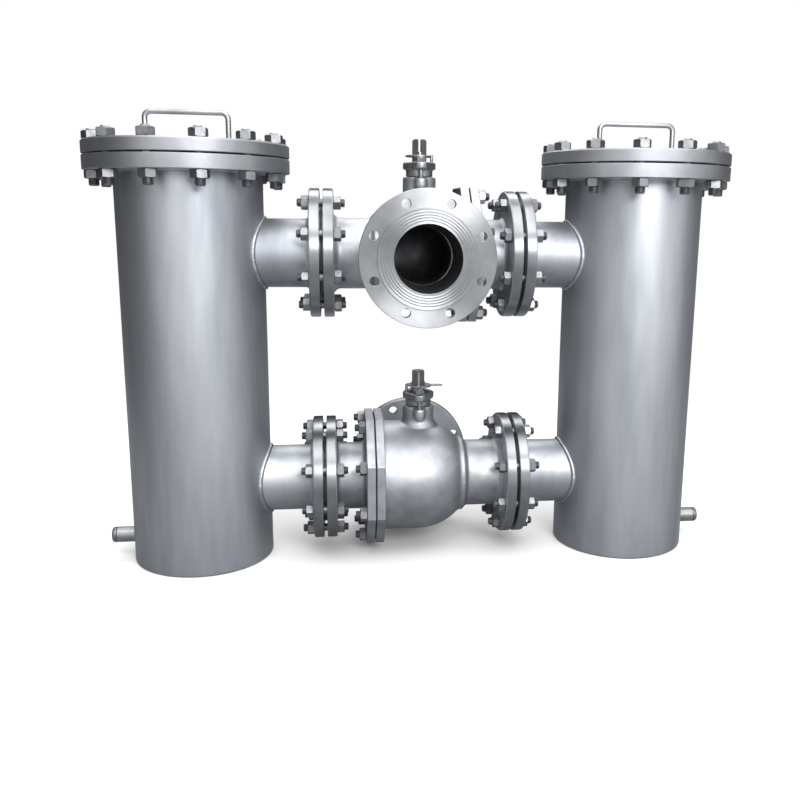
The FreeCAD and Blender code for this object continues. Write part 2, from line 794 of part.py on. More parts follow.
os.makedirs("parts", exist_ok=True)
for name, solids in nodes.items():
    shape = solids[0] if len(solids) == 1 else Part.makeCompound(solids)
    shape.exportStep("parts/" + name + ".step")
    print(name, len(shape.Solids), round(shape.Volume / 1000, 1), "cm3", shape.isValid())
print(len(nodes), "nodes")
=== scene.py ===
import math
import bmesh
import bpy
from mathutils import Matrix, Vector, noise


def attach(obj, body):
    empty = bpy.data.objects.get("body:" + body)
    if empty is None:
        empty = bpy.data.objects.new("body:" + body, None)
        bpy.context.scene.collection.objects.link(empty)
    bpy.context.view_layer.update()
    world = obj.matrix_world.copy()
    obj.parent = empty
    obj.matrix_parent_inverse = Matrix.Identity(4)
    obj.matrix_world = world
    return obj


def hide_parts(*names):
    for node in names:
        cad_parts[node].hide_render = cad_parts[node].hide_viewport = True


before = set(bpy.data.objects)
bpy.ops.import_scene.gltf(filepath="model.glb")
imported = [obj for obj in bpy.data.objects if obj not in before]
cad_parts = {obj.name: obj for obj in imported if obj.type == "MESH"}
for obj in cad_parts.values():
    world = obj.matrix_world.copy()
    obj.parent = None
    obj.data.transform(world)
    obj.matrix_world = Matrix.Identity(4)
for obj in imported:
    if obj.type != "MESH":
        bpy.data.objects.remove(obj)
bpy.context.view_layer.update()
scene = bpy.context.scene

# Duplex bag filter. Sizes in the dictionaries are in millimetres; the meshes are in metres.
# X runs from the left vessel to the right one, -Y is the inlet side, Z is up.
mm = 0.001
sides = {"left": -1, "right": 1}
layout = {
    "vesselSpacing": 877,
    "upperAxis": 611,
    "lowerAxis": 154,
    "flangeFace": 190,
}
rootBody = "vessels_and_piping"
levels = {"upper": layout["upperAxis"], "lower": layout["lowerAxis"]}
xAxis = Vector((1, 0, 0))
yAxis = Vector((0, 1, 0))
zAxis = Vector((0, 0, 1))


def linear(hexText):
    values = []
    for start in (0, 2, 4):
        part = int(hexText[start:start + 2], 16) / 255
        values.append(part / 12.92 if part <= 0.04045 else ((part + 0.055) / 1.055) ** 2.4)
    return (*values, 1.0)


def addNode(tree, kind, settings=None, values=None, links=None):
    node = tree.nodes.new(kind)
    for key, value in (settings or {}).items():
        setattr(node, key, value)
    for key, value in (values or {}).items():
        node.inputs[key].default_value = value
    for key, source in (links or {}).items():
        tree.links.new(source, node.inputs[key])
    return node


def mathNode(tree, operation, *terms):
    node = addNode(tree, "ShaderNodeMath", {"operation": operation})
    for i, term in enumerate(terms):
        if isinstance(term, bpy.types.NodeSocket):
            tree.links.new(term, node.inputs[i])
        else:
            node.inputs[i].default_value = term
    return node.outputs[0]


def linked(name, data):
    obj = bpy.data.objects.new(name, data)
    scene.collection.objects.link(obj)
    return obj


def aimed(obj, place, aim, axis):
    obj.location = place
    if aim:
        obj.rotation_mode = "QUATERNION"
        obj.rotation_quaternion = (Vector(aim) - Vector(place)).to_track_quat(axis, "Y")


# Camera: the place, direction and lens that fit the photograph's flange rims, bolts and vessel edges
cameraFit = {
    "place": (-0.16637, -1.74202, 0.69581),
    "yaw": 0.140,
    "pitch": 0.198,
    "roll": 0.014,
    "focalPixels": 864.7,
    "axisPixel": (456.1, 384.7),
    "framePixels": 800,
    "sensor": 36,
}


def makeCamera(fit):
    data = bpy.data.cameras.new("photoCamera")
    camera = linked("photoCamera", data)
    forward = Vector((math.sin(fit["yaw"]) * math.cos(fit["pitch"]),
                      math.cos(fit["yaw"]) * math.cos(fit["pitch"]), -math.sin(fit["pitch"])))
    right = Vector((math.cos(fit["yaw"]), -math.sin(fit["yaw"]), 0))
    up = right.cross(forward)
    rolledRight = right * math.cos(fit["roll"]) + up * math.sin(fit["roll"])
    rolledUp = up * math.cos(fit["roll"]) - right * math.sin(fit["roll"])
    turn = Matrix((rolledRight, rolledUp, -forward)).transposed()
    camera.matrix_world = Matrix.Translation(fit["place"]) @ turn.to_4x4()
    data.sensor_width = fit["sensor"]
    data.lens = fit["focalPixels"] / fit["framePixels"] * fit["sensor"]
    data.shift_x = 0.5 - fit["axisPixel"][0] / fit["framePixels"]
    data.shift_y = fit["axisPixel"][1] / fit["framePixels"] - 0.5
    data.clip_start, data.clip_end = 0.05, 100
    scene.camera = camera


makeCamera(cameraFit)
scene.view_settings.view_transform = "Standard"
print("camera set")

# Studio: pale floor, white surroundings, broad soft lamps, and dark flags that only reflections see
studio = {
    "floorColour": "F4F4F3",
    "floorReach": 40.0,
    "fadeFrom": 0.7,
    "fadeTo": 2.4,
    "ambient": 0.7,
}
lampSetup = {
    "frontSoftbox": {"place": (0.66, -2.5, 1.5), "aim": (0.05, 0.0, 0.4), "size": (1.3, 0.8), "power": 46},
    "topSoftbox": {"place": (0.16, -1.28, 3.9), "aim": (0.0, 0.0, 0.4), "size": (4.2, 3.8), "power": 138},
    "backSoftbox": {"place": (0.0, 1.75, 2.2), "aim": (0.0, 0.0, 0.45), "size": (2.6, 1.2), "power": 34},
}
flagSetup = {
    "leftFlag": {"place": (-1.85, 0.3, 1.2), "aim": (0.0, 0.3, 1.2), "size": (3.0, 2.8), "colour": "333436"},
    "rightFlag": {"place": (1.95, 0.8, 1.2), "aim": (0.0, 0.8, 1.2), "size": (2.2, 2.8), "colour": "333436"},
    "backFlag": {"place": (0.0, 1.9, 1.2), "aim": (0.0, 0.0, 1.2), "size": (4.0, 2.8), "colour": "333436"},
    "floorFlag": {"place": (0.0, -0.1, -0.0003), "aim": None, "size": (4.6, 4.4), "colour": "8C8D8F"},
}


def litSurroundings(look):
    world = bpy.data.worlds.new("studioSurroundings")
    scene.world = world
    world.use_nodes = True
    tree = world.node_tree
    tree.nodes.clear()
    path = addNode(tree, "ShaderNodeLightPath")
    seen = mathNode(tree, "MAXIMUM", path.outputs["Is Camera Ray"], path.outputs["Is Glossy Ray"])
    seen = mathNode(tree, "MAXIMUM", seen, path.outputs["Is Transmission Ray"])
    ambient = addNode(tree, "ShaderNodeBackground", values={"Color": (1, 1, 1, 1), "Strength": look["ambient"]})
    white = addNode(tree, "ShaderNodeBackground", values={"Color": (1, 1, 1, 1), "Strength": 1.0})
    mix = addNode(tree, "ShaderNodeMixShader", links={0: seen, 1: ambient.outputs[0], 2: white.outputs[0]})
    addNode(tree, "ShaderNodeOutputWorld", links={"Surface": mix.outputs[0]})


def newMaterial(name, values):
    material = bpy.data.materials.new(name)
    material.use_nodes = True
    shader = material.node_tree.nodes["Principled BSDF"]
    for key, value in values.items():
        shader.inputs[key].default_value = value
    return material, material.node_tree, shader


def stageMaterial(name, hexColour):
    return newMaterial(name, {"Base Color": linear(hexColour), "Roughness": 0.9, "Specular IOR Level": 0.1})


def floorMaterial(look):
    # The floor fades into the white surroundings away from the object, so that no horizon shows
    material, tree, shader = stageMaterial("pale floor", look["floorColour"])
    coordinates = addNode(tree, "ShaderNodeTexCoord")
    reach = addNode(tree, "ShaderNodeVectorMath", {"operation": "LENGTH"},
                    links={0: coordinates.outputs["Object"]})
    fade = addNode(tree, "ShaderNodeMapRange", {"interpolation_type": "SMOOTHSTEP"},
                   {"From Min": look["fadeFrom"], "From Max": look["fadeTo"]},
                   {"Value": reach.outputs["Value"]})
    white = addNode(tree, "ShaderNodeEmission", values={"Color": (1, 1, 1, 1), "Strength": 1.0})
    mix = addNode(tree, "ShaderNodeMixShader", links={0: fade.outputs[0], 1: shader.outputs[0], 2: white.outputs[0]})
    tree.links.new(mix.outputs[0], tree.nodes["Material Output"].inputs["Surface"])
    return material


def stagePanel(name, place, size, aim, material):
    mesh = bpy.data.meshes.new(name)
    halfWide, halfHigh = size[0] / 2, size[1] / 2
    mesh.from_pydata([(-halfWide, -halfHigh, 0), (halfWide, -halfHigh, 0), (halfWide, halfHigh, 0),
                      (-halfWide, halfHigh, 0)], [], [(0, 1, 2, 3)])
    mesh.materials.append(material)
    panel = linked(name, mesh)
    aimed(panel, place, aim, "Z")
    return panel


def makeStudio(look, lamps, flags):
    litSurroundings(look)
    reach = look["floorReach"]
    stagePanel("studioFloor", (0, 0, -0.0006), (reach, reach), None, floorMaterial(look))
    for name, flag in flags.items():
        cloth = stageMaterial(name + " cloth", flag["colour"])[0]
        panel = stagePanel(name, flag["place"], flag["size"], flag["aim"], cloth)
        panel.visible_camera = False
        panel.visible_diffuse = False
        panel.visible_shadow = False
        panel.visible_transmission = False
    for name, lamp in lamps.items():
        data = bpy.data.lights.new(name, "AREA")
        data.shape = "RECTANGLE"
        data.size, data.size_y = lamp["size"]
        data.energy = lamp["power"]
        aimed(linked(name, data), lamp["place"], lamp["aim"], "-Z")


makeStudio(studio, lampSetup, flagSetup)
print("studio set")

# Metal finishes. Grain is the blasted or cast texture, patches are the cloudy changes of polish and
# colour over the surface; both in millimetres. Grain is drawn coarser than it is, so that it shows.
finishes = {
    # 304 stainless, bead-blasted and pickled: even satin with soft cloudy streaks up the wall
    "beadBlastedStainless": {"light": "C0C3C8", "dark": "9A9EA4", "rough": (0.46, 0.56), "grain": 1.6,
                             "depth": 0.012, "patch": (70, 70, 420)},
    # 304 stainless, investment cast and blasted: grainier satin
    "castStainless": {"light": "B9BCC0", "dark": "999CA1", "rough": (0.46, 0.56), "grain": 2.2,
                      "depth": 0.02, "patch": (45, 45, 45)},
    # 304 stainless, turned on a lathe: fine cutter marks, a little brighter
    "turnedStainless": {"light": "ABADB0", "dark": "909295", "rough": (0.38, 0.46), "grain": 1.2,
                        "depth": 0.006, "patch": (60, 60, 60)},
    # 304 stainless cover and mouth flange, turned and then blasted with the vessel
    "blastedCover": {"light": "B4B6BA", "dark": "9B9DA2", "rough": (0.54, 0.62), "grain": 1.4,
                     "depth": 0.008, "patch": (80, 80, 80)},
    # A2 stainless nuts and studs: bright, with small tool marks
    "brightFastener": {"light": "989A9C", "dark": "7B7D82", "rough": (0.36, 0.46), "grain": 1.0,
                       "depth": 0.004, "patch": (14, 14, 14)},
    # Stainless bore, rough machined, with painted shade: its colour is darkened to stand for the shade inside the
    # passages
    "darkenedBore": {"light": "6A6B6E", "dark": "4A4B4E", "rough": (0.50, 0.62), "grain": 1.5,
                     "depth": 0.02, "patch": (30, 30, 30)},
    # 304 stainless, sand cast and left dull: gland, stop plate and stem
    "dullCastSteel": {"light": "A4A5A7", "dark": "7E8082", "rough": (0.38, 0.52), "grain": 1.8,
                      "depth": 0.03, "patch": (12, 12, 12)},
    # 316 stainless ball, mirror polished
    "polishedBall": {"light": "DADCDE", "dark": "CBCDD0", "rough": (0.04, 0.08), "grain": 3.0,
                     "depth": 0.001, "patch": (50, 50, 50)},
    # 304 stainless sheet, perforated and pickled: basket and its loops
    "pickledSheet": {"light": "C4C6C8", "dark": "A2A5A8", "rough": (0.28, 0.40), "grain": 1.2,
                     "depth": 0.01, "patch": (40, 40, 120)},
    # Stainless weld metal, blasted with the vessel after welding: satin, slightly rippled
    "blastedWeld": {"light": "BDBFC2", "dark": "9B9DA0", "rough": (0.36, 0.46), "grain": 1.8,
                    "depth": 0.02, "patch": (16, 16, 16)},
}


def objectPlace(tree, scale, location=(0, 0, 0)):
    coordinates = addNode(tree, "ShaderNodeTexCoord")
    return addNode(tree, "ShaderNodeMapping", values={"Scale": scale, "Location": location},
                   links={"Vector": coordinates.outputs["Object"]})


def noiseField(tree, values, scale=(1, 1, 1)):
    return addNode(tree, "ShaderNodeTexNoise", values=values,
                   links={"Vector": objectPlace(tree, scale).outputs[0]}).outputs["Fac"]


def paint(tree, shader, dark, light, share):
    colour = addNode(tree, "ShaderNodeMix", {"data_type": "RGBA"}, {6: linear(dark), 7: linear(light)}, {0: share})
    tree.links.new(colour.outputs[2], shader.inputs["Base Color"])


def grainBump(tree, grain, detail, strength, depth):
    return addNode(tree, "ShaderNodeBump", values={"Strength": strength, "Distance": depth * mm},
                   links={"Height": noiseField(tree, {"Scale": 1 / (grain * mm), "Detail": detail})})


def metalFinish(name, look, rings=None):
    material, tree, shader = newMaterial(name, {"Metallic": 1.0})
    patches = noiseField(tree, {"Scale": 1.0, "Detail": 4.0, "Roughness": 0.55},
                         tuple(1 / (size * mm) for size in look["patch"]))
    spread = {"From Min": 0.3, "From Max": 0.7}
    share = addNode(tree, "ShaderNodeMapRange", values=spread, links={"Value": patches})
    paint(tree, shader, look["dark"], look["light"], share.outputs[0])
    low, high = look["rough"]
    gloss = addNode(tree, "ShaderNodeMapRange", values={**spread, "To Min": high, "To Max": low},
                    links={"Value": patches})
    tree.links.new(gloss.outputs[0], shader.inputs["Roughness"])
    bump = grainBump(tree, look["grain"], 3.0, 0.6, look["depth"])
    if rings:
        centred = objectPlace(tree, (1, 1, 1), tuple(-c * mm for c in rings["centre"]))
        waves = addNode(tree, "ShaderNodeTexWave",
                        {"wave_type": "RINGS", "rings_direction": rings["axis"], "wave_profile": "SIN"},
                        {"Scale": 2 * math.pi / (20 * rings["pitch"] * mm), "Distortion": 0.4, "Detail": 2.0},
                        {"Vector": centred.outputs[0]})
        bump = addNode(tree, "ShaderNodeBump", values={"Strength": 0.5, "Distance": rings["depth"] * mm},
                       links={"Height": waves.outputs["Fac"], "Normal": bump.outputs[0]})
        spindle = {"X": (1, 0, 0), "Y": (0, 1, 0), "Z": (0, 0, 1)}[rings["axis"]]
        along = addNode(tree, "ShaderNodeVectorMath", {"operation": "CROSS_PRODUCT"}, {0: spindle},
                        {1: centred.outputs[0]})
        along = addNode(tree, "ShaderNodeVectorMath", {"operation": "NORMALIZE"}, links={0: along.outputs[0]})
        tree.links.new(along.outputs[0], shader.inputs["Tangent"])
        shader.inputs["Anisotropic"].default_value = rings["sheen"]
        shader.inputs["Anisotropic Rotation"].default_value = 0.25
    tree.links.new(bump.outputs[0], shader.inputs["Normal"])
    return material


def plainFinish(name, light, dark, roughness, grain, depth, patch, sheen=0.0, specular=0.5):
    material, tree, shader = newMaterial(name, {"Roughness": roughness, "Sheen Weight": sheen,
                                                "Specular IOR Level": specular})
    paint(tree, shader, dark, light, noiseField(tree, {"Scale": 1 / (patch * mm), "Detail": 4.0}))
    bump = grainBump(tree, grain, 4.0, 0.7, depth)
    tree.links.new(bump.outputs[0], shader.inputs["Normal"])
    return material


materials = {name: metalFinish(name, look) for name, look in finishes.items()}
vesselX = layout["vesselSpacing"] / 2
upperCentre, lowerCentre = (0, 0, layout["upperAxis"]), (0, 0, layout["lowerAxis"])
# Lathe marks run in rings about the axis on which each flange was turned
flangeMarks = {"pitch": 1.6, "depth": 0.03, "sheen": 0.9}
coverMarks = {"pitch": 2.4, "depth": 0.03, "sheen": 0.5}
for markName, axis, centre, finish, marks in (
        ("turnedInlet", "Y", upperCentre, "turnedStainless", flangeMarks),
        ("turnedOutlet", "Y", lowerCentre, "turnedStainless", flangeMarks),
        ("turnedUpperPipe", "X", upperCentre, "turnedStainless", flangeMarks),
        ("turnedLowerPipe", "X", lowerCentre, "turnedStainless", flangeMarks),
        ("turnedLeftCover", "Z", (-vesselX, 0, 0), "blastedCover", coverMarks),
        ("turnedRightCover", "Z", (vesselX, 0, 0), "blastedCover", coverMarks)):
    materials[markName] = metalFinish(markName, finishes[finish], {"axis": axis, "centre": centre, **marks})
# PTFE seats: waxy white. Graphite packing: soft black sheen. Fibre gasket: grey, matt. EPDM: black, matt.
materials["ptfe"] = plainFinish("moulded PTFE", "D8D8D4", "CBCBC6", 0.35, 2.0, 0.01, 20)
materials["graphite"] = plainFinish("pressed graphite", "3B3C3F", "26272A", 0.45, 0.8, 0.02, 8)
materials["fibre"] = plainFinish("compressed fibre gasket", "7E8488", "666B6F", 0.8, 1.0, 0.03, 10)
materials["epdm"] = plainFinish("EPDM rubber sheet", "2A2A2C", "1C1C1E", 0.65, 1.5, 0.02, 15)
# Needle felt: fibres of a tenth of a millimetre, drawn ten times coarser so that the nap shows
materials["felt"] = plainFinish("needle felt", "CFCABE", "B9B4A6", 0.95, 1.1, 0.35, 30, sheen=0.3, specular=0.2)
materials["thread"] = plainFinish("polyester sewing thread", "D9D5CA", "C6C1B5", 0.7, 0.5, 0.05, 5)
materials["polypropylene"] = plainFinish("moulded polypropylene", "CDCDC8", "BFBFB9", 0.38, 3.0, 0.01, 25)
print("materials made")


# Mesh tools. Meshes are made in millimetres and scaled when they become pieces.
def roundedProfile(corners, closed):
    arcSteps = 3
    points = []
    count = len(corners)
    for i, corner in enumerate(corners):
        here = Vector(corner[:2])
        fillet = corner[2] if len(corner) > 2 else 0
        if not fillet or (not closed and i in (0, count - 1)):
            points.append(here)
            continue
        before = Vector(corners[i - 1][:2]) - here
        after = Vector(corners[(i + 1) % count][:2]) - here
        halfAngle = before.angle(after) / 2
        reach = min(fillet / math.tan(halfAngle), 0.49 * before.length, 0.49 * after.length)
        radius = reach * math.tan(halfAngle)
        middle = (before.normalized() + after.normalized()).normalized()
        centre = here + middle * radius / math.sin(halfAngle)
        start = here + before.normalized() * reach - centre
        end = here + after.normalized() * reach - centre
        turn = start.angle_signed(end)
        for step in range(arcSteps + 1):
            arm = start.copy()
            arm.rotate(Matrix.Rotation(-turn * step / arcSteps, 2))
            points.append(centre + arm)
    return points


def angles(count, shift=0.0):
    return [2 * math.pi * (k + shift) / count for k in range(count)]


def polar(radius, angle, along=0.0):
    return (radius * math.cos(angle), radius * math.sin(angle), along)


def band(mesh, low, high):
    # Faces between two rings of corners; a ring of one corner is a tip
    for k in range(max(len(low), len(high))):
        corners = [low[k % len(low)], low[(k + 1) % len(low)], high[(k + 1) % len(high)], high[k % len(high)]]
        unique = list(dict.fromkeys(corners))
        if len(unique) > 2:
            mesh.faces.new(unique)


def lathe(corners, steps=96, closed=True):
    mesh = bmesh.new()
    rings = []
    for radius, along in roundedProfile(corners, closed):
        places = [(0, 0, along)] if radius < 1e-6 else [polar(radius, angle, along) for angle in angles(steps)]
        rings.append([mesh.verts.new(place) for place in places])
    for low, high in zip(rings, rings[1:] + (rings[:1] if closed else [])):
        band(mesh, low, high)
    bmesh.ops.recalc_face_normals(mesh, faces=mesh.faces)
    return mesh


def cylinder(radius, low, high, steps):
    return lathe([(0, low), (radius, low), (radius, high), (0, high)], steps, False)


def sphere(radius, around, upward):
    mesh = bmesh.new()
    bmesh.ops.create_uvsphere(mesh, u_segments=around, v_segments=upward, radius=radius)
    return mesh


def regularPrism(flats, sideCount, length, edge=0.0):
    mesh = bmesh.new()
    cornerRadius = flats / 2 / math.cos(math.pi / sideCount)
    low = [mesh.verts.new(polar(cornerRadius, angle)) for angle in angles(sideCount, 0.5)]
    high = [mesh.verts.new(v.co + Vector((0, 0, length))) for v in low]
    mesh.faces.new(low)
    mesh.faces.new(high)
    band(mesh, low, high)
    bmesh.ops.recalc_face_normals(mesh, faces=mesh.faces)
    if edge:
        bmesh.ops.bevel(mesh, geom=mesh.edges[:], offset=edge, segments=3, profile=0.5, affect="EDGES")
    return mesh


def standing(mesh, centre=(0, 0, 0), direction=zAxis, spin=0.0):
    turn = zAxis.rotation_difference(direction).to_matrix().to_4x4()
    place = Matrix.Translation(centre) @ turn @ Matrix.Rotation(spin, 4, "Z")
    bmesh.ops.transform(mesh, matrix=place, verts=mesh.verts)
    return mesh


def joined(meshes):
    whole = bmesh.new()
    for mesh in meshes:
        data = bpy.data.meshes.new("joining")
        mesh.to_mesh(data)
        whole.from_mesh(data)
        bpy.data.meshes.remove(data)
    return whole


def evaluated(obj):
    view = bpy.context.evaluated_depsgraph_get()
    view.update()
    return bpy.data.meshes.new_from_object(obj.evaluated_get(view))


def temporary(mesh):
    data = bpy.data.meshes.new("working")
    mesh.to_mesh(data)
    return linked("working", data)


def discard(obj):
    data = obj.data
    bpy.data.objects.remove(obj)
    bpy.data.meshes.remove(data)


def modified(obj):
    # The mesh that the object's modifiers give; the object itself goes
    data = evaluated(obj)
    discard(obj)
    mesh = bmesh.new()
    mesh.from_mesh(data)
    bpy.data.meshes.remove(data)
    return mesh


def combined(base, tools, operation="DIFFERENCE"):
    body = temporary(base)
    cutter = temporary(joined(tools) if isinstance(tools, list) else tools)
    cut = body.modifiers.new("cut", "BOOLEAN")
    cut.operation = operation
    cut.object = cutter
    cut.solver = "MANIFOLD"
    result = modified(body)
    discard(cutter)
    return result


def shaded(mesh, sharp):
    bmesh.ops.transform(mesh, matrix=Matrix.Scale(mm, 4), verts=mesh.verts)
    for face in mesh.faces:
        face.smooth = True
    for edge in mesh.edges:
        if len(edge.link_faces) == 2:
            edge.smooth = edge.calc_face_angle() < math.radians(sharp)
    return mesh


def asPiece(name, data, body, replaced):
    data.name = name
    piece = linked(name, data)
    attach(piece, body)
    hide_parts(*replaced)


def finished(name, mesh, materialNames, body, replaced, sharp=30, chooser=None):
    shaded(mesh, sharp)
    if chooser:
        for face in mesh.faces:
            face.material_index = chooser(face)
    working = temporary(mesh)
    for materialName in materialNames:
        working.data.materials.append(materials[materialName])
    shading = working.modifiers.new("evenShading", "WEIGHTED_NORMAL")
    shading.keep_sharp = True
    asPiece(name, evaluated(working), body, replaced)
    discard(working)


def circlePlaces(circle, count):
    return [polar(circle / 2, angle)[:2] for angle in angles(count, 0.5)]


def across(direction, u, v, along):
    if abs(direction.z) > 0.5:
        return Vector((u, v, along * direction.z))
    if abs(direction.x) > 0.5:
        return Vector((along * direction.x, u, v))
    return Vector((u, along * direction.y, v))


def holeTools(diameter, circle, count, start, length, direction):
    tools = []
    for u, v in circlePlaces(circle, count):
        tools.append(standing(cylinder(diameter / 2, 0, length, 32), across(direction, u, v, start), direction))
    return tools


# Vessels
vessel = {
    "radius": 136.5,
    "wall": 6,
    "baseThickness": 10,
    "mouthHeight": 787,
    "flangeRadius": 188,
    "flangeThickness": 26,
    "coverThickness": 24,
    "gasketThickness": 3,
    "boltCircle": 336,
    "boltCount": 12,
    "holeDiameter": 22,
    "gasketWidth": 22,
    "chamfer": 3,
    "drainHeight": 42,
    "shellSetback": 5,
    "fitGap": 0.2,
}
mouthLow = vessel["mouthHeight"] - vessel["flangeThickness"]
coverLow = vessel["mouthHeight"] + vessel["gasketThickness"]
coverTop = coverLow + vessel["coverThickness"]
pipe = {
    "radius": 66.5,
    "bore": 125,
    "flangeRadius": 125,
    "flangeThickness": 20,
    "faceRadius": 92,
    "faceHeight": 2,
    "boltCircle": 210,
    "boltCount": 8,
    "holeDiameter": 18,
    "gasket": 3,
    "fillet": 9,
    "backEdge": 3.6,
    "faceEdge": 1.4,
}
drain = {
    "radius": 15.5,
    "bore": 10.5,
    "start": 100,
    "reach": 36,
    "plugGap": 0.3,
    "head": 9,
    "tipEdge": 5,
    "shank": 20,
    "keyFlats": 12,
    "keyDepth": 6,
}
cutOver = 1


def pipeHoles(start, length, direction):
    return holeTools(pipe["holeDiameter"], pipe["boltCircle"], pipe["boltCount"], start, length, direction)


def vesselWall(reach):
    return cylinder(vessel["radius"] + vessel["fitGap"], -reach, reach, 160)


def makeShell(side, sign):
    centre = (sign * vesselX, 0, 0)
    outer, inner = vessel["radius"], vessel["radius"] - vessel["wall"]
    low, high = vessel["baseThickness"], vessel["mouthHeight"] - vessel["shellSetback"]
    wall = lathe([(inner, low), (outer, low), (outer, high), (inner, high)], 160)
    inward = xAxis * -sign
    tools = [standing(cylinder(pipe["bore"] / 2, 0, 200, 64), (0, 0, height), inward) for height in levels.values()]
    tools.append(standing(cylinder(drain["bore"], 0, 200, 32), (0, 0, vessel["drainHeight"]), -inward))
    shell = standing(combined(wall, tools), centre)
    finished(side + "Shell", shell, ["beadBlastedStainless"], rootBody, [side + "_shell"])
    plate = lathe([(0, 0), (outer, 0, 2.5), (outer, low), (0, low)], 160, False)
    finished(side + "Bottom", standing(plate, centre), ["beadBlastedStainless"], rootBody,
             [side + "_base_plate"])


def makeMouth(side, sign):
    centre = Vector((sign * vesselX, 0, 0))
    top = vessel["mouthHeight"]
    outer = vessel["flangeRadius"]
    bore = vessel["radius"] + vessel["fitGap"]
    holes = (vessel["holeDiameter"], vessel["boltCircle"], vessel["boltCount"])
    ring = lathe([(bore, mouthLow), (outer, mouthLow, 1.5), (outer, top, 1.5), (bore, top)], 160)
    ring = combined(ring, holeTools(*holes, mouthLow - cutOver, vessel["flangeThickness"] + 2 * cutOver, zAxis))
    marks = "turned" + side.capitalize() + "Cover"
    finished(side + "MouthFlange", standing(ring, centre), [marks], rootBody,
             [side + "_mouth_flange"])
    chamfer = vessel["chamfer"]
    lid = lathe([(0, coverLow), (outer, coverLow, 1.5), (outer, coverTop - chamfer, 1),
                 (outer - chamfer, coverTop, 1), (0, coverTop)], 160, False)
    lid = combined(lid, holeTools(*holes, coverLow - cutOver, vessel["coverThickness"] + 2 * cutOver, zAxis))
    finished(side + "Cover", standing(lid, centre), [marks], side + "_lid", [side + "_cover"])
    wide = vessel["boltCircle"] / 2 - vessel["holeDiameter"] / 2 - 1
    narrow, high = wide - vessel["gasketWidth"], coverLow - 0.3
    gasket = lathe([(narrow, top, 0.4), (wide, top, 0.4), (wide, high, 0.4), (narrow, high, 0.4)], 128)
    finished(side + "MouthGasket", standing(gasket, centre), ["epdm"], rootBody,
             [side + "_cover_gasket"])


def sweptRod(path, radius, bend, sideCount=20):
    centreLine = [Vector(path[0])]
    for before, here, after in zip(path, path[1:], path[2:]):
        here = Vector(here)
        back = (Vector(before) - here).normalized()
        on = (Vector(after) - here).normalized()
        halfAngle = back.angle(on) / 2
        reach = bend / math.tan(halfAngle)
        centre = here + (back + on).normalized() * bend / math.sin(halfAngle)
        start, end = (here + back * reach - centre).normalized(), (here + on * reach - centre).normalized()
        arcSteps = 10
        for step in range(arcSteps + 1):
            centreLine.append(centre + start.slerp(end, step / arcSteps) * bend)
    centreLine.append(Vector(path[-1]))
    normal = (Vector(path[1]) - Vector(path[0])).cross(Vector(path[2]) - Vector(path[1])).normalized()
    mesh = bmesh.new()
    rings = []
    for i, place in enumerate(centreLine):
        ahead = centreLine[min(i + 1, len(centreLine) - 1)] - centreLine[max(i - 1, 0)]
        sideways = ahead.normalized().cross(normal)
        rings.append([mesh.verts.new(place + (normal * math.cos(angle) + sideways * math.sin(angle)) * radius)
                      for angle in angles(sideCount)])
    for low, high in zip(rings, rings[1:]):
        band(mesh, low, high)
    mesh.faces.new(rings[0])
    mesh.faces.new(rings[-1])
    bmesh.ops.recalc_face_normals(mesh, faces=mesh.faces)
    return mesh


coverHandle = {"rod": 10, "width": 162, "height": 62, "bend": 12}
basketLoop = {"rod": 6, "span": 50, "height": 55, "bend": 12, "radius": 109, "foot": 538.3}


def makeHandle(side, sign):
    half = coverHandle["width"] / 2 - coverHandle["rod"] / 2
    high = coverTop + coverHandle["height"] - coverHandle["rod"] / 2
    x = sign * vesselX
    path = [(x - half, 0, coverTop), (x - half, 0, high), (x + half, 0, high), (x + half, 0, coverTop)]
    rod = sweptRod(path, coverHandle["rod"] / 2, coverHandle["bend"])
    finished(side + "Handle", rod, ["turnedStainless"], side + "_lid", [side + "_cover_handle"])


for side, sign in sides.items():
    makeShell(side, sign)
    makeMouth(side, sign)
    makeHandle(side, sign)
print("vessels made")


# Pipe nozzles and drains
def makeNozzle(side, sign, level, height):
    face = layout["flangeFace"] + pipe["gasket"]
    plate = face + pipe["faceHeight"]
    back = plate + pipe["flangeThickness"]
    bore = pipe["bore"] / 2
    profile = [(bore, face), (pipe["faceRadius"], face, 0.5), (pipe["faceRadius"], plate, 0.5),
               (pipe["flangeRadius"], plate, pipe["faceEdge"]), (pipe["flangeRadius"], back, pipe["backEdge"]),
               (pipe["radius"], back, pipe["fillet"]), (pipe["radius"], vesselX), (bore, vesselX)]
    toward = xAxis * sign
    body = standing(lathe(profile, 128), direction=toward)
    body = combined(body, pipeHoles(plate - cutOver, pipe["flangeThickness"] + 2 * cutOver, toward))
    body = combined(body, standing(vesselWall(400), (sign * vesselX, 0, 0)))
    marks = "turned" + level.capitalize() + "Pipe"
    finished(f"{side}{level.capitalize()}Nozzle", standing(body, (0, 0, height)), ["beadBlastedStainless", marks],
             rootBody, [f"{side}_{level}_nozzle"],
             chooser=lambda f: int(abs(f.calc_center_median().x) < (back - 1) * mm))


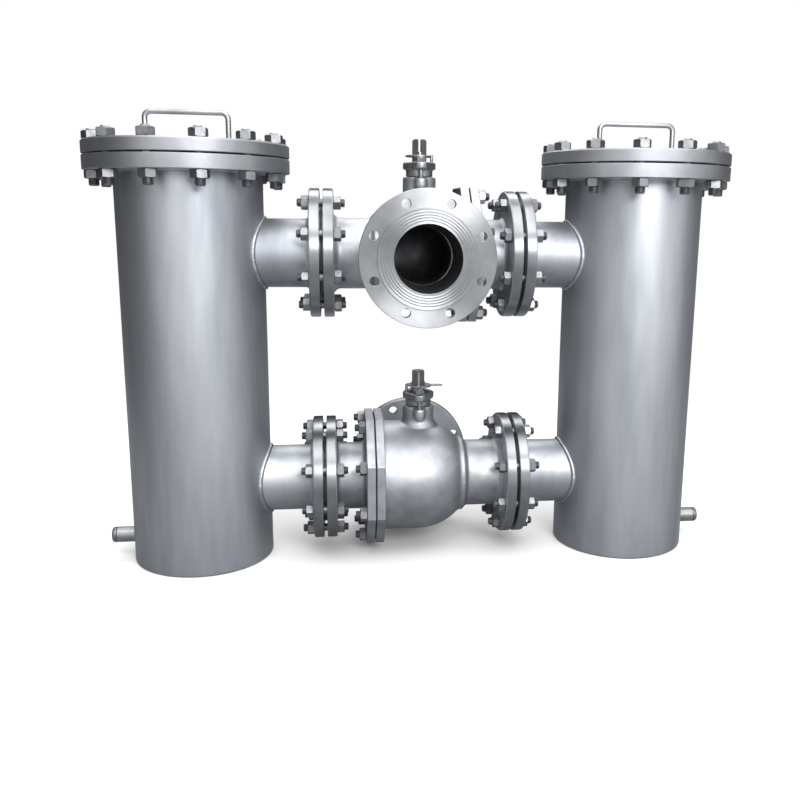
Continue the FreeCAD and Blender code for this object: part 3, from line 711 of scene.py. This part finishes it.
def makeDrain(side, sign):
    outward = xAxis * sign
    centre = (sign * vesselX, 0, vessel["drainHeight"])
    end = vessel["radius"] + drain["reach"]
    stub = lathe([(drain["bore"], drain["start"]), (drain["radius"], drain["start"]),
                  (drain["radius"], end, 1.2), (drain["bore"], end, 1)], 48)
    stub = combined(standing(stub, direction=outward), vesselWall(90))
    finished(side + "DrainStub", standing(stub, centre), ["turnedStainless"], rootBody,
             [side + "_drain_socket"])
    seat = end + drain["plugGap"]
    shank = drain["bore"] - drain["plugGap"]
    tip = seat + drain["head"]
    plug = lathe([(0, seat - drain["shank"]), (shank, seat - drain["shank"], 1.5), (shank, seat),
                  (drain["radius"], seat, 0.6), (drain["radius"], tip, drain["tipEdge"]), (0, tip)], 48, False)
    depth = drain["keyDepth"]
    key = standing(regularPrism(drain["keyFlats"], 6, 2 * depth), (0, 0, tip - depth))
    plug = standing(standing(combined(plug, key), direction=outward), centre)
    finished(side + "DrainPlug", plug, ["brightFastener"], side + "_plug",
             [side + "_drain_plug"])


for side, sign in sides.items():
    makeDrain(side, sign)
    for level, height in levels.items():
        makeNozzle(side, sign, level, height)
print("nozzles and drains made")

# Three-way valves. The body is made about the valve's centre, with its branch to -Y and its cap on +X.
valve = {
    "bodyRadius": 113,
    "neckRadius": 69,
    "collarRadius": 78,
    "collarReach": 97,
    "plateNear": 74,
    "bodyFace": 91,
    "capFace": 93,
    "plateThickness": 17,
    "plateFlats": 260,
    "plateEdge": 1.6,
    "studCircle": 244,
    "studCount": 8,
    "studHole": 18,
    "cavityRadius": 94,
    "cavityReach": 95,
    "pocketRadius": 62.2,
    "seatBack": 80,
    "portRadius": 56,
    "bossRadius": 32.5,
    "bossTop": 149,
    "lugRadius": 12,
    "packingBore": 19.3,
    "stemBore": 14.1,
    "stemShoulder": (98.3, 112),
    "boxRadius": 22,
    "spigotStart": 63.7,
    "polishRadius": 87,
    "castVoxel": 2.6,
    "castSmoothing": 7,
    "serrationPitch": 5.0,
    "serrationDepth": 0.8,
    "serrationMargin": (4, 3),
    "holeRelief": 12,
}
gland = {
    "studOffset": 34,
    "noseRadius": 14,
    "middleRadius": 32,
    "plateLow": 163,
    "plateTop": 177,
    "plateEdge": 3.5,
    "sleeveLow": 140,
    "sleeveRadius": 21.7,
    "neckLow": 150,
    "neckRadius": 26,
    "stemHole": 14.3,
    "studHole": 5.6,
    "studLow": 131,
}
flangePlate = layout["flangeFace"] - pipe["faceHeight"]
flangeBack = flangePlate - pipe["flangeThickness"]
flangeInner = pipe["bore"] / 2 - 8
flangeRim = [(pipe["flangeRadius"], flangeBack, pipe["backEdge"]),
             (pipe["flangeRadius"], flangePlate, pipe["faceEdge"]), (pipe["faceRadius"], flangePlate, 0.5),
             (pipe["faceRadius"], layout["flangeFace"], 0.4)]
plateEnd = valve["capFace"] + valve["plateThickness"]


def passageTool(direction):
    bore = pipe["bore"] / 2
    face = layout["flangeFace"] + cutOver
    tool = lathe([(0, -1), (valve["pocketRadius"], -1), (valve["pocketRadius"], valve["seatBack"]),
                  (valve["portRadius"], valve["seatBack"]), (valve["portRadius"], valve["capFace"]),
                  (bore, flangeBack), (bore, face), (0, face)], 96, False)
    return standing(tool, direction=direction)


def flangeDisc(direction, serrated=False):
    face = layout["flangeFace"]
    profile = [(flangeInner, flangeBack)] + flangeRim
    if serrated:
        inside, outside = valve["serrationMargin"]
        radius = pipe["faceRadius"] - outside
        while radius > pipe["bore"] / 2 + inside:
            profile += [(radius, face), (radius - valve["serrationPitch"] / 2, face - valve["serrationDepth"])]
            radius -= valve["serrationPitch"]
        profile.append((radius, face))
    profile.append((flangeInner, face))
    return standing(lathe(profile, 128), direction=direction)


def castCore():
    neck, collar = valve["neckRadius"], valve["collarRadius"]
    branch = [(0, 0), (collar, 0), (collar, valve["collarReach"] - 6), (neck, valve["collarReach"]),
              (neck, flangeBack - 9), (neck + 3, flangeBack - 4), (neck + 9, flangeBack), (neck + 9, flangeBack + 6),
              (0, flangeBack + 6)]
    bossTop, bossRadius = valve["bossTop"], valve["bossRadius"]
    parts = [standing(lathe(branch, 96, False), direction=-xAxis),
             standing(lathe(branch, 96, False), direction=-yAxis),
             sphere(valve["bodyRadius"], 96, 64),
             standing(cylinder(valve["bodyRadius"], 0, valve["bodyFace"] - 6, 128), direction=xAxis),
             lathe([(0, 0), (bossRadius + 7, 0), (bossRadius + 7, 108), (bossRadius, 118), (bossRadius, bossTop),
                    (0, bossTop)], 64, False)]
    for end in (-1, 1):
        lug = lathe([(0, 122), (5, 122), (valve["lugRadius"], 129), (valve["lugRadius"], bossTop - 3),
                     (0, bossTop - 3)], 32, False)
        parts.append(standing(lug, (0, end * gland["studOffset"], 0)))
    whole = temporary(joined(parts))
    fuse = whole.modifiers.new("fuse", "REMESH")
    fuse.mode = "VOXEL"
    fuse.voxel_size = valve["castVoxel"]
    ease = whole.modifiers.new("ease", "SMOOTH")
    ease.iterations = valve["castSmoothing"]
    ease.factor = 0.5
    return modified(whole)


def octagon(start):
    plate = regularPrism(valve["plateFlats"], 8, valve["plateThickness"], valve["plateEdge"])
    return standing(plate, (start, 0, 0), xAxis)


def valveBodyMesh():
    body = castCore()
    for part in (octagon(valve["plateNear"]), flangeDisc(-xAxis), flangeDisc(-yAxis, True)):
        body = combined(body, part, "UNION")
    mouth = standing(cylinder(valve["cavityRadius"], 0, valve["cavityReach"], 96), direction=xAxis)
    low, high = valve["stemShoulder"]
    top = valve["bossTop"] + 3
    stemBore = lathe([(0, 0), (valve["packingBore"], 0), (valve["packingBore"], low), (valve["stemBore"], low),
                      (valve["stemBore"], high), (valve["boxRadius"], high), (valve["boxRadius"], top), (0, top)],
                     48, False)
    for cut in (sphere(valve["cavityRadius"], 64, 48), mouth, passageTool(-xAxis), passageTool(-yAxis), stemBore):
        body = combined(body, cut)
    relief = valve["holeRelief"]
    for direction in (-xAxis, -yAxis):
        body = combined(body, pipeHoles(flangeBack - relief, pipe["flangeThickness"] + relief + cutOver, direction))
    return body


def endCapMesh():
    plate = octagon(valve["capFace"])
    neck = valve["neckRadius"]
    profile = [(flangeInner, plateEnd - 8), (neck + 9, plateEnd - 8), (neck + 9, plateEnd - 0.5),
               (neck + 4, plateEnd + 2.5), (neck + 1.2, plateEnd + 6), (neck, plateEnd + 11),
               (neck, flangeBack, pipe["fillet"]), *flangeRim, (flangeInner, layout["flangeFace"])]
    body = combined(plate, standing(lathe(profile, 128), direction=xAxis), "UNION")
    spigot = cylinder(valve["cavityRadius"] - 0.3, valve["spigotStart"], valve["cavityReach"], 96)
    body = combined(body, standing(spigot, direction=xAxis), "UNION")
    body = combined(combined(body, sphere(valve["cavityRadius"], 64, 48)), passageTool(xAxis))
    body = combined(body, pipeHoles(flangeBack - cutOver, pipe["flangeThickness"] + 2 * cutOver, xAxis))
    return combined(body, holeTools(valve["studHole"], valve["studCircle"], valve["studCount"],
                                    valve["capFace"] - cutOver, valve["plateThickness"] + 2 * cutOver, xAxis))


def roundedOutline(radius, noseRadius, offset, steps=14):
    # Outline of a gland plate: a round middle with a rounded nose at each end, joined by tangents
    lean = math.acos((radius - noseRadius) / offset)
    outline = []
    for base, sign in ((0, 1), (math.pi, -1)):
        first = math.pi / 2 - lean
        for k in range(steps + 1):
            angle = base - first + 2 * first * k / steps
            outline.append((radius * math.cos(angle), radius * math.sin(angle)))
        for k in range(steps + 1):
            angle = base + first + (math.pi - 2 * first) * k / steps
            outline.append((noseRadius * math.cos(angle), sign * offset + noseRadius * math.sin(angle)))
    return outline


def extruded(outline, low, high, edge):
    mesh = bmesh.new()
    bottom = [mesh.verts.new((x, y, low)) for x, y in outline]
    top = [mesh.verts.new((x, y, high)) for x, y in outline]
    rims = [mesh.faces.new(bottom), mesh.faces.new(top)]
    band(mesh, bottom, top)
    bmesh.ops.recalc_face_normals(mesh, faces=mesh.faces)
    edges = list({e for rim in rims for e in rim.edges})
    bmesh.ops.bevel(mesh, geom=edges, offset=edge, segments=4, profile=0.5, affect="EDGES")
    return mesh


def glandMesh():
    outline = roundedOutline(gland["middleRadius"], gland["noseRadius"], gland["studOffset"])
    plateLow, neck = gland["plateLow"], gland["neckRadius"]
    plate = extruded(outline, plateLow, gland["plateTop"], gland["plateEdge"])
    sleeve = lathe([(0, gland["sleeveLow"]), (gland["sleeveRadius"], gland["sleeveLow"]),
                    (gland["sleeveRadius"], gland["neckLow"]), (neck, gland["neckLow"], 1), (neck, plateLow - 3),
                    (neck + 2, plateLow + 3), (0, plateLow + 3)], 64, False)
    body = combined(plate, sleeve, "UNION")
    low, high = gland["sleeveLow"] - 10, gland["plateTop"] + 3
    body = combined(body, cylinder(gland["stemHole"], low, high, 48))
    return combined(body, [standing(cylinder(gland["studHole"], low, high, 24), (0, end * gland["studOffset"], 0))
                           for end in (-1, 1)])


def refined(node, edge):
    mesh = bmesh.new()
    mesh.from_mesh(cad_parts[node].data)
    bmesh.ops.transform(mesh, matrix=Matrix.Scale(1 / mm, 4), verts=mesh.verts)
    bmesh.ops.remove_doubles(mesh, verts=mesh.verts, dist=0.004)
    bmesh.ops.dissolve_limit(mesh, angle_limit=math.radians(0.5), verts=mesh.verts, edges=mesh.edges)
    if not edge:
        return mesh
    working = temporary(mesh)
    soften = working.modifiers.new("soften", "BEVEL")
    soften.limit_method = "ANGLE"
    soften.angle_limit = math.radians(35)
    soften.width = edge
    soften.segments = 2
    return modified(working)


def keptSolid(name, node, edge, finish, body):
    finished(name, refined(node, edge), [finish], body, [node])


def valveSurface(face, height, branch, rim):
    # 0 cast skin, 1 turned branch flange, 2 turned pipe flange, 3 bore with painted shade
    place = face.calc_center_median() - Vector((0, 0, height * mm))
    normal = face.normal
    if abs(normal.y) > 0.8 and abs(place.y) > rim:
        return 1
    if abs(normal.x) > 0.8 and abs(place.x) > rim:
        return 2
    bore = (pipe["bore"] / 2 + 0.6) * mm
    if (place.length < (valve["cavityRadius"] + 1.2) * mm or math.hypot(place.y, place.z) < bore
            or (place.y * branch > 0 and math.hypot(place.x, place.z) < bore)):
        return 3
    if abs(place.y) > rim:
        return 1
    return 2 if abs(place.x) > rim else 0


def makeValves():
    body, cap, glandPlate = valveBodyMesh(), endCapMesh(), glandMesh()
    for level, height in levels.items():
        title = level.capitalize()
        turn, branch = (0, -1) if level == "upper" else (math.pi, 1)
        marks = ["turnedInlet" if level == "upper" else "turnedOutlet", f"turned{title}Pipe"]
        rim = (flangeBack + 2) * mm
        for name, mesh, node in (("ValveBody", body, "_valve_body"), ("EndCap", cap, "_end_cap")):
            finished(title + name, standing(joined([mesh]), (0, 0, height), spin=turn),
                     ["castStainless"] + marks + ["darkenedBore"], rootBody, [level + node],
                     chooser=lambda f: valveSurface(f, height, branch, rim))
        finished(title + "Gland", standing(joined([glandPlate]), (0, 0, height), spin=turn),
                 ["dullCastSteel"], rootBody, [level + "_gland"])
        rotor, middle = level + "_valve_rotor", Vector((0, 0, height * mm))
        keptSolid(title + "Stem", level + "_stem", 0.9, "dullCastSteel", rotor)
        keptSolid(title + "StopPlate", level + "_stop_plate", 0.4, "dullCastSteel", rotor)
        # The ball's port, inside the polish radius, takes the bore finish with painted shade
        finished(title + "Ball", refined(level + "_ball", 0), ["polishedBall", "darkenedBore"], rotor,
                 [level + "_ball"],
                 chooser=lambda f: int((f.calc_center_median() - middle).length < valve["polishRadius"] * mm))
        keptSolid(title + "Seats", level + "_seats", 0, "ptfe", rootBody)
        keptSolid(title + "Packing", level + "_packing", 0.5, "graphite", rootBody)
        keptSolid(title + "BodyGasket", level + "_body_gasket", 0.3, "fibre", rootBody)


makeValves()
keptSolid("FlangeGaskets", "flange_gaskets", 0.4, "fibre", rootBody)
keptSolid("StopScrews", "stop_screws", 0.6, "brightFastener", rootBody)
print("valves made")

# Fasteners: one nut and one stud shape for each size, set on their places by a node tree
fastenerSizes = {
    "flangeNut": {"flats": 24, "height": 14, "bore": 16},
    "coverNut": {"flats": 30, "height": 16, "bore": 20},
    "glandNut": {"flats": 17, "height": 8, "bore": 10},
    "flangeStud": {"diameter": 16, "length": 91, "pitch": 2.0, "thread": 22},
    "capStud": {"diameter": 16, "length": 55, "pitch": 2.0, "thread": 22},
    "coverStud": {"diameter": 20, "length": 101, "pitch": 2.5, "thread": 20},
    "glandStud": {"diameter": 10, "length": 55.5, "pitch": 1.5, "thread": 10},
}
# How far a stud starts before its nut, or for the cap studs before the body's joint face
studLead = {"flange": 8, "cap": 14, "cover": 13}


def nutShape(size):
    steps = 24
    apothem = size["flats"] / 2
    height = size["height"]
    bore = size["bore"] / 2 + 0.1
    flatTop = apothem * 0.93
    mesh = bmesh.new()
    columns = []
    for angle in angles(steps):
        corner = apothem / math.cos((angle + math.pi / 6) % (math.pi / 3) - math.pi / 6)
        drop = (corner - flatTop) * math.tan(math.radians(30))
        column = [(bore, 0.9), (bore + 0.9, 0), (flatTop, 0), (corner, drop), (corner, height - drop),
                  (flatTop, height), (bore + 0.9, height), (bore, height - 0.9)]
        columns.append([mesh.verts.new(polar(r, angle, z)) for r, z in column])
    for k in range(steps):
        near, far = columns[k], columns[(k + 1) % steps]
        for i in range(len(near)):
            j = (i + 1) % len(near)
            mesh.faces.new((near[i], far[i], far[j], near[j]))
    bmesh.ops.recalc_face_normals(mesh, faces=mesh.faces)
    return mesh


def studShape(size):
    radius, length, pitch = size["diameter"] / 2, size["length"], size["pitch"]
    depth = pitch * 0.55
    profile = [(0, 0), (radius - pitch, 0), (radius - depth, 0.7 * pitch)]
    turns = int(size["thread"] / pitch) - 1
    for turn in range(turns):
        start = pitch * (turn + 1)
        profile += [(radius, start), (radius - depth, start + pitch / 2)]
    mirrored = [(r, length - along) for r, along in reversed(profile)]
    shank = [(radius - 0.3, profile[-1][1] + pitch), (radius - 0.3, mirrored[0][1] - pitch)]
    return lathe(profile + shank + mirrored, 16, False)


def startTree(name, inputs):
    tree = bpy.data.node_groups.new(name, "GeometryNodeTree")
    for label, kind in inputs.items():
        tree.interface.new_socket(label, in_out="INPUT", socket_type="NodeSocket" + kind)
    tree.interface.new_socket("Result", in_out="OUTPUT", socket_type="NodeSocketGeometry")
    return tree, addNode(tree, "NodeGroupInput")


def endTree(tree, given, geometry):
    real = addNode(tree, "GeometryNodeRealizeInstances", links={"Geometry": geometry})
    finish = addNode(tree, "GeometryNodeSetMaterial",
                     links={"Geometry": real.outputs[0], "Material": given.outputs["Finish"]})
    addNode(tree, "NodeGroupOutput", links={0: finish.outputs[0]})
    return tree


def grown(data, tree, settings):
    host = linked("host", data)
    modifier = host.modifiers.new("grown", "NODES")
    modifier.node_group = tree
    for item in tree.interface.items_tree:
        if item.in_out == "INPUT" and item.name in settings:
            modifier[item.identifier] = settings[item.name]
    result = evaluated(host)
    discard(host)
    return result


def fastenerTree():
    tree, given = startTree("fastenersOnPlaces", {"Places": "Geometry", "Shape": "Object", "Spin": "Float",
                                                  "Seed": "Int", "Finish": "Material"})
    aim = addNode(tree, "GeometryNodeInputNamedAttribute", {"data_type": "FLOAT_VECTOR"}, {"Name": "aim"})
    facing = addNode(tree, "FunctionNodeAlignRotationToVector", {"axis": "Z"}, links={"Vector": aim.outputs[0]})
    chance = addNode(tree, "FunctionNodeRandomValue", {"data_type": "FLOAT"},
                     links={"Max": given.outputs["Spin"], "Seed": given.outputs["Seed"]})
    spin = addNode(tree, "FunctionNodeAxisAngleToRotation", values={"Axis": (0, 0, 1)},
                   links={"Angle": chance.outputs["Value"]})
    turned = addNode(tree, "FunctionNodeRotateRotation", {"rotation_space": "LOCAL"},
                     links={"Rotation": facing.outputs[0], "Rotate By": spin.outputs[0]})
    shape = addNode(tree, "GeometryNodeObjectInfo", links={"Object": given.outputs["Shape"]})
    points = addNode(tree, "GeometryNodeMeshToPoints", links={"Mesh": given.outputs["Places"]})
    placed = addNode(tree, "GeometryNodeInstanceOnPoints",
                     links={"Points": points.outputs[0], "Instance": shape.outputs["Geometry"],
                            "Rotation": turned.outputs[0]})
    return endTree(tree, given, placed.outputs[0])


sharpThread = 28
fastenerShapes = {}
for sizeName, size in fastenerSizes.items():
    made = nutShape(size) if "flats" in size else studShape(size)
    fastenerShapes[sizeName] = temporary(shaded(made, sharpThread))
placesTree = fastenerTree()


def fastenerGroup(places, shapeName, seed):
    data = bpy.data.meshes.new("places")
    data.from_pydata([tuple(Vector(place) * mm) for place, aim in places], [], [])
    attribute = data.attributes.new("aim", "FLOAT_VECTOR", "POINT")
    for item, (place, aim) in zip(attribute.data, places):
        item.vector = aim
    return grown(data, placesTree, {"Shape": fastenerShapes[shapeName], "Spin": 2 * math.pi, "Seed": seed,
                                    "Finish": materials["brightFastener"]})


def groupedPiece(name, groups, body, slotName, replaced, finish="brightFastener"):
    whole = bmesh.new()
    for group in groups:
        whole.from_mesh(group)
        bpy.data.meshes.remove(group)
    data = bpy.data.meshes.new(name)
    whole.to_mesh(data)
    data.materials.append(materials[finish])
    asPiece(name, data, body, replaced)


def makeFasteners():
    grip = 2 * (pipe["flangeThickness"] + pipe["faceHeight"]) + pipe["gasket"]
    nutHeight = fastenerSizes["flangeNut"]["height"]
    nutLow, studLow = flangeBack - nutHeight, flangeBack - nutHeight - studLead["flange"]
    nutPlaces, studPlaces = [], []
    for height in levels.values():
        for sign in sides.values():
            for u, v in circlePlaces(pipe["boltCircle"], pipe["boltCount"]):
                studPlaces.append(((sign * studLow, u, height + v), (sign, 0, 0)))
                for start in (nutLow, flangeBack + grip):
                    nutPlaces.append(((sign * start, u, height + v), (sign, 0, 0)))
    steel = (rootBody, "fastener_steel")
    groupedPiece("FlangeNuts", [fastenerGroup(nutPlaces, "flangeNut", 3)], *steel, ["flange_nuts"])
    groupedPiece("FlangeStuds", [fastenerGroup(studPlaces, "flangeStud", 5)], *steel, ["flange_studs"])
    for level, height in levels.items():
        sign = 1 if level == "upper" else -1
        capNuts, capStuds = [], []
        for u, v in circlePlaces(valve["studCircle"], valve["studCount"]):
            capNuts.append(((sign * plateEnd, u, height + v), (sign, 0, 0)))
            capStuds.append(((sign * (valve["bodyFace"] - studLead["cap"]), u, height + v), (sign, 0, 0)))
        groups = [fastenerGroup(capNuts, "flangeNut", 7), fastenerGroup(capStuds, "capStud", 8)]
        groupedPiece(level.capitalize() + "CapStuds", groups, *steel, [level + "_cap_studs"])
        offset = gland["studOffset"]
        groups = []
        for low, shapeName, seed in ((gland["plateTop"], "glandNut", 9), (gland["studLow"], "glandStud", 10)):
            places = [((0, end * offset, height + low), (0, 0, 1)) for end in (-1, 1)]
            groups.append(fastenerGroup(places, shapeName, seed))
        groupedPiece(level.capitalize() + "GlandStuds", groups, *steel, [level + "_gland_studs"], "dullCastSteel")
    nutLow = mouthLow - fastenerSizes["coverNut"]["height"]
    lowNuts, studs = [], []
    for side, sign in sides.items():
        topNuts = []
        for u, v in circlePlaces(vessel["boltCircle"], vessel["boltCount"]):
            x = sign * vesselX + u
            topNuts.append(((x, v, coverTop), (0, 0, 1)))
            lowNuts.append(((x, v, nutLow), (0, 0, 1)))
            studs.append(((x, v, nutLow - studLead["cover"]), (0, 0, 1)))
        groupedPiece(side + "CoverNuts", [fastenerGroup(topNuts, "coverNut", 11 + sign)], side + "_lid",
                     "fastener_steel", [side + "_cover_top_nuts"])
    groupedPiece("CoverLowerNuts", [fastenerGroup(lowNuts, "coverNut", 17)], *steel, ["cover_lower_nuts"])
    groupedPiece("CoverStuds", [fastenerGroup(studs, "coverStud", 19)], *steel, ["cover_studs"])


makeFasteners()
print("fasteners made")

# Baskets and bags. The bag's felt has shallow folds, a side seam and a foot seam, both stitched.
bag = {
    "radius": 89,
    "wall": 3,
    "top": 544.6,
    "foot": 134.6,
    "taper": 30,
    "foldDepth": 1.3,
    "foldFade": 60,
    "foldSeed": 4,
    "ringStep": 6,
    "seamHalf": 3.2,
    "stitchStep": 4.5,
    "ringBore": 89.2,
    "ringReach": 103.2,
    "ringLow": 538.6,
    "steps": 192,
}


def bagRadius(angle, z, outer):
    # Radius of the felt at this place: shallow folds that fade at the top and at the foot
    fade = min(1, (bag["top"] - z) / bag["foldFade"]) * min(1, max(0, (z - bag["foot"]) / bag["foldFade"]))
    flow = noise.noise(Vector((math.cos(angle) * 2.2, math.sin(angle) * 2.2, z / 130 + bag["foldSeed"])))
    tall = noise.noise(Vector((math.cos(angle) * 5.0, math.sin(angle) * 5.0, z / 400)))
    inward = bag["foldDepth"] * fade * (0.55 + 0.5 * flow + 0.35 * tall)
    foot = max(0.0, min(1.0, 1 - (z - bag["foot"]) / bag["taper"]))
    radius = bag["radius"] - bag["taper"] * foot - max(0.0, inward)
    return radius if outer else radius - bag["wall"]


def feltMesh():
    heights = [bag["top"]]
    while heights[-1] - bag["ringStep"] > bag["foot"] + bag["taper"] + 3:
        heights.append(heights[-1] - bag["ringStep"])
    heights += [bag["foot"] + bag["taper"] * k / 4 for k in (4, 3, 2, 1)] + [bag["foot"] + 2, bag["foot"] + 0.4]
    mesh = bmesh.new()
    skins = []
    for outer in (True, False):
        rings = []
        for z in heights:
            level = z if outer else max(z, bag["foot"] + bag["wall"])
            tuck = 3 if z < bag["foot"] + 1 else 0
            if z == bag["top"]:
                tuck = 0.7 if outer else -0.7
            rings.append([mesh.verts.new(polar(bagRadius(angle, z, outer) - tuck, angle, level))
                          for angle in angles(bag["steps"])])
        rings.append([mesh.verts.new((0, 0, bag["foot"] if outer else bag["foot"] + bag["wall"]))])
        skins.append(rings)
    for rings in skins:
        for low, high in zip(rings, rings[1:]):
            band(mesh, low, high)
    band(mesh, skins[0][0], skins[1][0])
    bmesh.ops.recalc_face_normals(mesh, faces=mesh.faces)
    return mesh


def stitchPlaces(centre):
    def onFelt(angle, z):
        return centre + Vector(polar(bagRadius(angle, z, True) + 0.15, angle, z))

    places = []
    for offset in (-bag["seamHalf"], bag["seamHalf"]):
        z = bag["foot"] + bag["taper"] + 6
        while z < bag["top"] - 10:
            places.append((onFelt(-math.pi / 2 + offset / bag["radius"], z), (0, 0, 1)))
            z += bag["stitchStep"]
    z = bag["foot"] + bag["taper"] + 3
    for angle in angles(int(2 * math.pi * bag["radius"] / bag["stitchStep"])):
        places.append((onFelt(angle, z), (-math.sin(angle), math.cos(angle), 0)))
    return places


def makeBags():
    felt = feltMesh()
    stitch = lathe([(0, 0), (0.45, 0.3), (0.6, 1.2), (0.45, 3.0), (0, 3.4)], 6, False)
    fastenerShapes["stitch"] = temporary(shaded(stitch, sharpThread))
    for side, sign in sides.items():
        centre = Vector((sign * vesselX, 0, 0))
        unit = side + "_bag_unit"
        finished(side + "FilterBag", standing(joined([felt]), centre), ["felt"], unit,
                 [side + "_filter_bag"], sharp=60)
        groupedPiece(side + "BagStitches", [fastenerGroup(stitchPlaces(centre), "stitch", 21)], unit, "felt", (),
                     "thread")
        ring = lathe([(bag["ringBore"], bag["ringLow"], 1), (bag["ringReach"], bag["ringLow"], 1.5),
                      (bag["ringReach"], bag["top"], 1.8), (bag["ringReach"] - 4, bag["top"], 0.6),
                      (bag["ringReach"] - 5, bag["top"] - 1.6, 0.6), (bag["ringBore"] + 5, bag["top"] - 1.6, 0.6),
                      (bag["ringBore"] + 4, bag["top"], 0.6), (bag["ringBore"], bag["top"], 1.4)], 160)
        finished(side + "BagRing", standing(ring, centre), ["polypropylene"], unit,
                 [side + "_bag_ring"])
        basketUnit = side + "_basket_unit"
        keptSolid(side + "Basket", side + "_basket", 0.5, "pickledSheet", basketUnit)
        loops = []
        half = (basketLoop["span"] - basketLoop["rod"]) / 2
        low, high = basketLoop["foot"], basketLoop["foot"] + basketLoop["height"] - basketLoop["rod"] / 2
        for end in (-1, 1):
            x = centre.x + end * basketLoop["radius"]
            loops.append(sweptRod([(x, -half, low), (x, -half, high), (x, half, high), (x, half, low)],
                                  basketLoop["rod"] / 2, basketLoop["bend"]))
        finished(side + "BasketLoops", joined(loops), ["pickledSheet"], basketUnit,
                 [side + "_basket_loops"])
        keptSolid(side + "BasketSeat", side + "_basket_seat", 0.5, "beadBlastedStainless", rootBody)


makeBags()
print("baskets and bags made")

# Weld beads: a curve that a node tree thickens and ripples
weld = {
    "nozzleRadius": 5.2,
    "mouthRadius": 2.8,
    "smallRadius": 1.8,
    "ripple": 0.05,
    "rippleStep": 3.2,
    "step": 0.8,
}


def weldTree():
    tree, given = startTree("rippledWeldBead", {"Seam": "Geometry", "Radius": "Float", "Ripple": "Float",
                                                "Ripple Step": "Float", "Step": "Float", "Seed": "Int",
                                                "Finish": "Material"})
    seam = addNode(tree, "GeometryNodeMeshToCurve", links={"Mesh": given.outputs["Seam"]})
    even = addNode(tree, "GeometryNodeResampleCurve", {"mode": "LENGTH"},
                   links={"Curve": seam.outputs[0], "Length": given.outputs["Step"]})
    along = addNode(tree, "GeometryNodeSplineParameter")
    phase = mathNode(tree, "DIVIDE", along.outputs["Length"], given.outputs["Ripple Step"])
    wave = mathNode(tree, "SINE", mathNode(tree, "MULTIPLY", phase, 2 * math.pi))
    chance = addNode(tree, "FunctionNodeRandomValue", {"data_type": "FLOAT"}, {"Min": -0.5, "Max": 0.5},
                     {"Seed": given.outputs["Seed"]})
    uneven = mathNode(tree, "ADD", wave, chance.outputs["Value"])
    swell = mathNode(tree, "MULTIPLY_ADD", uneven, given.outputs["Ripple"], 1.0)
    thick = mathNode(tree, "MULTIPLY", swell, given.outputs["Radius"])
    section = addNode(tree, "GeometryNodeCurvePrimitiveCircle", values={"Resolution": 8, "Radius": 1.0})
    bead = addNode(tree, "GeometryNodeCurveToMesh",
                   links={"Curve": even.outputs[0], "Profile Curve": section.outputs[0], "Scale": thick})
    smooth = addNode(tree, "GeometryNodeSetShadeSmooth", links={"Geometry": bead.outputs[0]})
    return endTree(tree, given, smooth.outputs[0])


beadTree = weldTree()


def weldBead(seams, radius, seed):
    data = bpy.data.meshes.new("seam")
    points, edges = [], []
    for seam in seams:
        first, count = len(points), len(seam)
        points += [tuple(Vector(point) * mm) for point in seam]
        edges += [(first + k, first + (k + 1) % count) for k in range(count)]
    data.from_pydata(points, edges, [])
    return grown(data, beadTree, {"Radius": radius * mm, "Ripple": weld["ripple"],
                                  "Ripple Step": weld["rippleStep"] * mm, "Step": weld["step"] * mm,
                                  "Seed": seed, "Finish": materials["blastedWeld"]})


def ringSeam(x, radius, z, steps=180):
    return [Vector(polar(radius, angle, z)) + Vector((x, 0, 0)) for angle in angles(steps)]


def wallSeam(sign, reach, height, radius, steps):
    # Where a pipe meets the vessel's wall: reach is -1 on the inner side, 1 on the outer side
    seam = []
    for angle in angles(steps):
        y = radius * math.sin(angle)
        x = sign * (vesselX + reach * math.sqrt(vessel["radius"] ** 2 - y ** 2))
        seam.append((x, y, height + radius * math.cos(angle)))
    return seam


def makeWelds():
    for side, sign in sides.items():
        x = sign * vesselX
        saddles = [wallSeam(sign, -1, height, pipe["radius"], 180) for height in levels.values()]
        outlet = wallSeam(sign, 1, vessel["drainHeight"], drain["radius"], 60)
        groups = [weldBead(saddles, weld["nozzleRadius"], 31),
                  weldBead([ringSeam(x, vessel["radius"] + 0.6, mouthLow)], weld["mouthRadius"], 32),
                  weldBead([outlet], weld["smallRadius"], 33)]
        groupedPiece(side + "VesselWelds", groups, rootBody, "satin_stainless", (), "blastedWeld")
        half = (coverHandle["width"] - coverHandle["rod"]) / 2
        feet = [ringSeam(x + end * half, coverHandle["rod"] / 2 + 0.3, coverTop + 0.4, 40) for end in (-1, 1)]
        groupedPiece(side + "HandleWelds", [weldBead(feet, weld["smallRadius"], 35)], side + "_lid",
                     "satin_stainless", (), "blastedWeld")


makeWelds()
for shape in fastenerShapes.values():
    discard(shape)
print("welds made")
